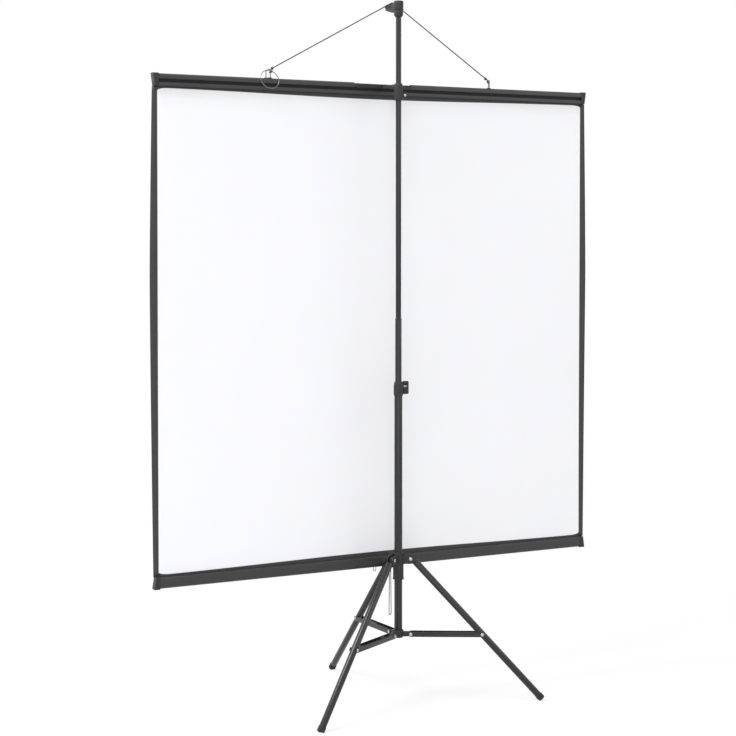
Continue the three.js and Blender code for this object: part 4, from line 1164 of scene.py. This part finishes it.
# %% Ring and eye
RING_RADIUS = 30 * MM
RING_WIRE = 1.3 * MM
RING_LEAN = np.radians(22)
EYE_HALF = 4.5 * MM
EYE_WIRE = 1.1 * MM
EYE_GAP = 0.01 * MM
angle = np.linspace(0, 2 * np.pi, 97)[:-1]
down = RING_RADIUS * (1 - np.cos(angle))
ring_top = WIRE_TOP - WIRE_RADIUS - RING_WIRE - FIT
ring_x = RING_RADIUS * np.sin(angle) - EYELET_X
ring_y = SHEET_Y - down * np.sin(RING_LEAN)
ring_path = np.stack([ring_x, ring_y, ring_top - down * np.cos(RING_LEAN)], axis=1)
ring_across = (0, np.cos(RING_LEAN), -np.sin(RING_LEAN))
ring = surface("storage_ring_wire", along_path(ring_path, RING_WIRE, 12, True, ring_across), wrap_v=True)
stand_for(ring, "storage_ring")

eye_low, eye_high = corners_of("bottom_eye")
across, height = staple_path(EYE_HALF, eye_high[2] - EYE_GAP, eye_low[2] + EYE_WIRE).T
route = np.stack([(eye_low[0] + eye_high[0]) / 2 + across, SHEET_Y + 0 * across, height], axis=1)
eye = surface("bottom_eye_wire", along_path(route, EYE_WIRE))
stand_for(eye, "bottom_eye")
print("ring", round(2 * RING_RADIUS, 3), "m across")

# %% [markdown]
# ## The carry strap
#
# The strap is a flat woven band in the top rail's recess, for carrying the rolled screen. Cloth could be
# simulated here too, but two rivets hold it flat. So it is one rounded outline carried from end to end,
# and its UV map, stretched to many turns, gives the weave.

# %% Carry strap
STRAP_EDGE = 1.1 * MM
STRAP_TURNS = 60
strap_low, strap_high = corners_of("carry_strap")
strap_half = (strap_high[1] - strap_low[1]) / 2
strap_corners = [(-strap_half, strap_low[2]), (strap_half, strap_low[2])]
strap_corners += [(strap_half, strap_high[2]), (-strap_half, strap_high[2])]
band = rounded(strap_corners, STRAP_EDGE, 5)
strap_ends = [strap_low[0], strap_low[0], strap_high[0], strap_high[0]]
strap_points = carried([pole(band), band, band, pole(band)], strap_ends)
strap = surface("carry_strap_webbing", strap_points, uv_scale=(1, 2 * np.pi * STRAP_TURNS))
stand_for(strap, "carry_strap")
print("strap", round(strap_high[0] - strap_low[0], 3), "m long")

# %% [markdown]
# ## The floor
#
# The screen stands on a pale floor that runs into a white background. A curved backdrop does that in a
# studio, but its bend shows from other sides. Here one flat floor mixes its lit surface with plain white:
# partly near the feet, where it keeps a faint shadow, and wholly a few metres away. Only what is seen
# directly, or in a reflection, is whitened, so the object gets no more light from it.


# %% Floor
def seen_directly(tree):
    """1 for camera, mirror and see-through rays, 0 for the rays that carry light."""
    rays = tree.node("ShaderNodeLightPath", out="Is Camera Ray")
    outputs = rays.socket.node.outputs
    mirror = Value(tree, outputs["Is Glossy Ray"])
    through = Value(tree, outputs["Is Transmission Ray"])
    return rays.above(mirror).above(through)


FLOOR_HALF = 40
FADE_START = 1.0
FADE_LENGTH = 2.5
FLOOR_WHITE = 0.75
FLOOR_LIT = (0.65, 0.65, 0.65)
FLOOR_SEEN = (0.8, 0.8, 0.8)
WHITE = (1, 1, 1, 1)

floor_corners = np.array([(-1, -1, 0), (1, -1, 0), (1, 1, 0), (-1, 1, 0)]) * FLOOR_HALF
floor_mesh = bpy.data.meshes.new("studio_floor")
floor_mesh.from_pydata(floor_corners.tolist(), [], [(0, 1, 2, 3)])
floor = bpy.data.objects.new("studio_floor", floor_mesh)
scene.collection.objects.link(floor)
floor_finish = Finish("studio_floor", roughness=0.9)
floor_seen = seen_directly(floor_finish)
floor_finish.set(base_color=floor_finish.blend(floor_seen, FLOOR_LIT, FLOOR_SEEN))
floor_x, floor_y, _ = floor_finish.axes(floor_finish.place())
distance = (floor_x * floor_x + floor_y * floor_y).root()
far = ((distance - FADE_START) / FADE_LENGTH).share()
fade = floor_seen * (FLOOR_WHITE + (1 - FLOOR_WHITE) * far)
glow = floor_finish.node("ShaderNodeEmission", {}, {"Color": WHITE, "Strength": 1.0})
lit = Value(floor_finish, floor_finish.shader.outputs[0])
mixed = floor_finish.node("ShaderNodeMixShader", {}, {0: fade, 1: lit, 2: glow})
floor_output = next(n for n in floor_finish.tree.nodes if n.type == "OUTPUT_MATERIAL")
floor_finish.feed(floor_output, {"Surface": mixed})
floor_mesh.materials.append(floor_finish.material)
print("floor", 2 * FLOOR_HALF, "m wide")

# %% [markdown]
# ## The light
#
# An even pale surround lights the object from all sides, and seen directly or in a reflection it is
# white. Alone it would leave the tubes flat. So three large soft lamps, above, at the right and behind
# the camera, add the bright lines along the tubes without a hard shadow. A weaker one on the far side
# keeps the front of the sheet as white as its back.

# %% Surround and lamps
SURROUND_LIGHT = 0.74

world = bpy.data.worlds.new("studio")
world.use_nodes = True
scene.world = world
surround = Tree(world.node_tree)
strength = SURROUND_LIGHT + (1 - SURROUND_LIGHT) * seen_directly(surround)
surround.feed(world.node_tree.nodes["Background"], {"Color": WHITE, "Strength": strength})


def soft_lamp(name, place, target, size, power):
    """A square lamp that looks from its place towards a target: tipped off the vertical, then turned."""
    data = bpy.data.lights.new(name, "AREA")
    data.shape = "SQUARE"
    data.size = size
    data.energy = power
    lamp = bpy.data.objects.new(name, data)
    lamp.location = place
    aim = np.array(target) - np.array(place)
    tip = np.arctan2(np.hypot(aim[0], aim[1]), -aim[2])
    lamp.rotation_euler = (tip, 0, np.arctan2(-aim[0], aim[1]))
    scene.collection.objects.link(lamp)


soft_lamp("ceiling_lamp", place=(-2.9, -0.1, 5.4), target=(-0.2, -0.2, 0.3), size=2.8, power=290)
soft_lamp("right_lamp", place=(3.6, -3.4, 3.4), target=(0, 0, 1.1), size=3.0, power=40)
soft_lamp("back_lamp", place=(-4.4, -7.4, 2.2), target=(0, 0, 0.9), size=6.0, power=140)
soft_lamp("front_lamp", place=(-3.4, 5.2, 2.6), target=(0, 0, 1.1), size=4.5, power=67)
print("surround and four lamps")
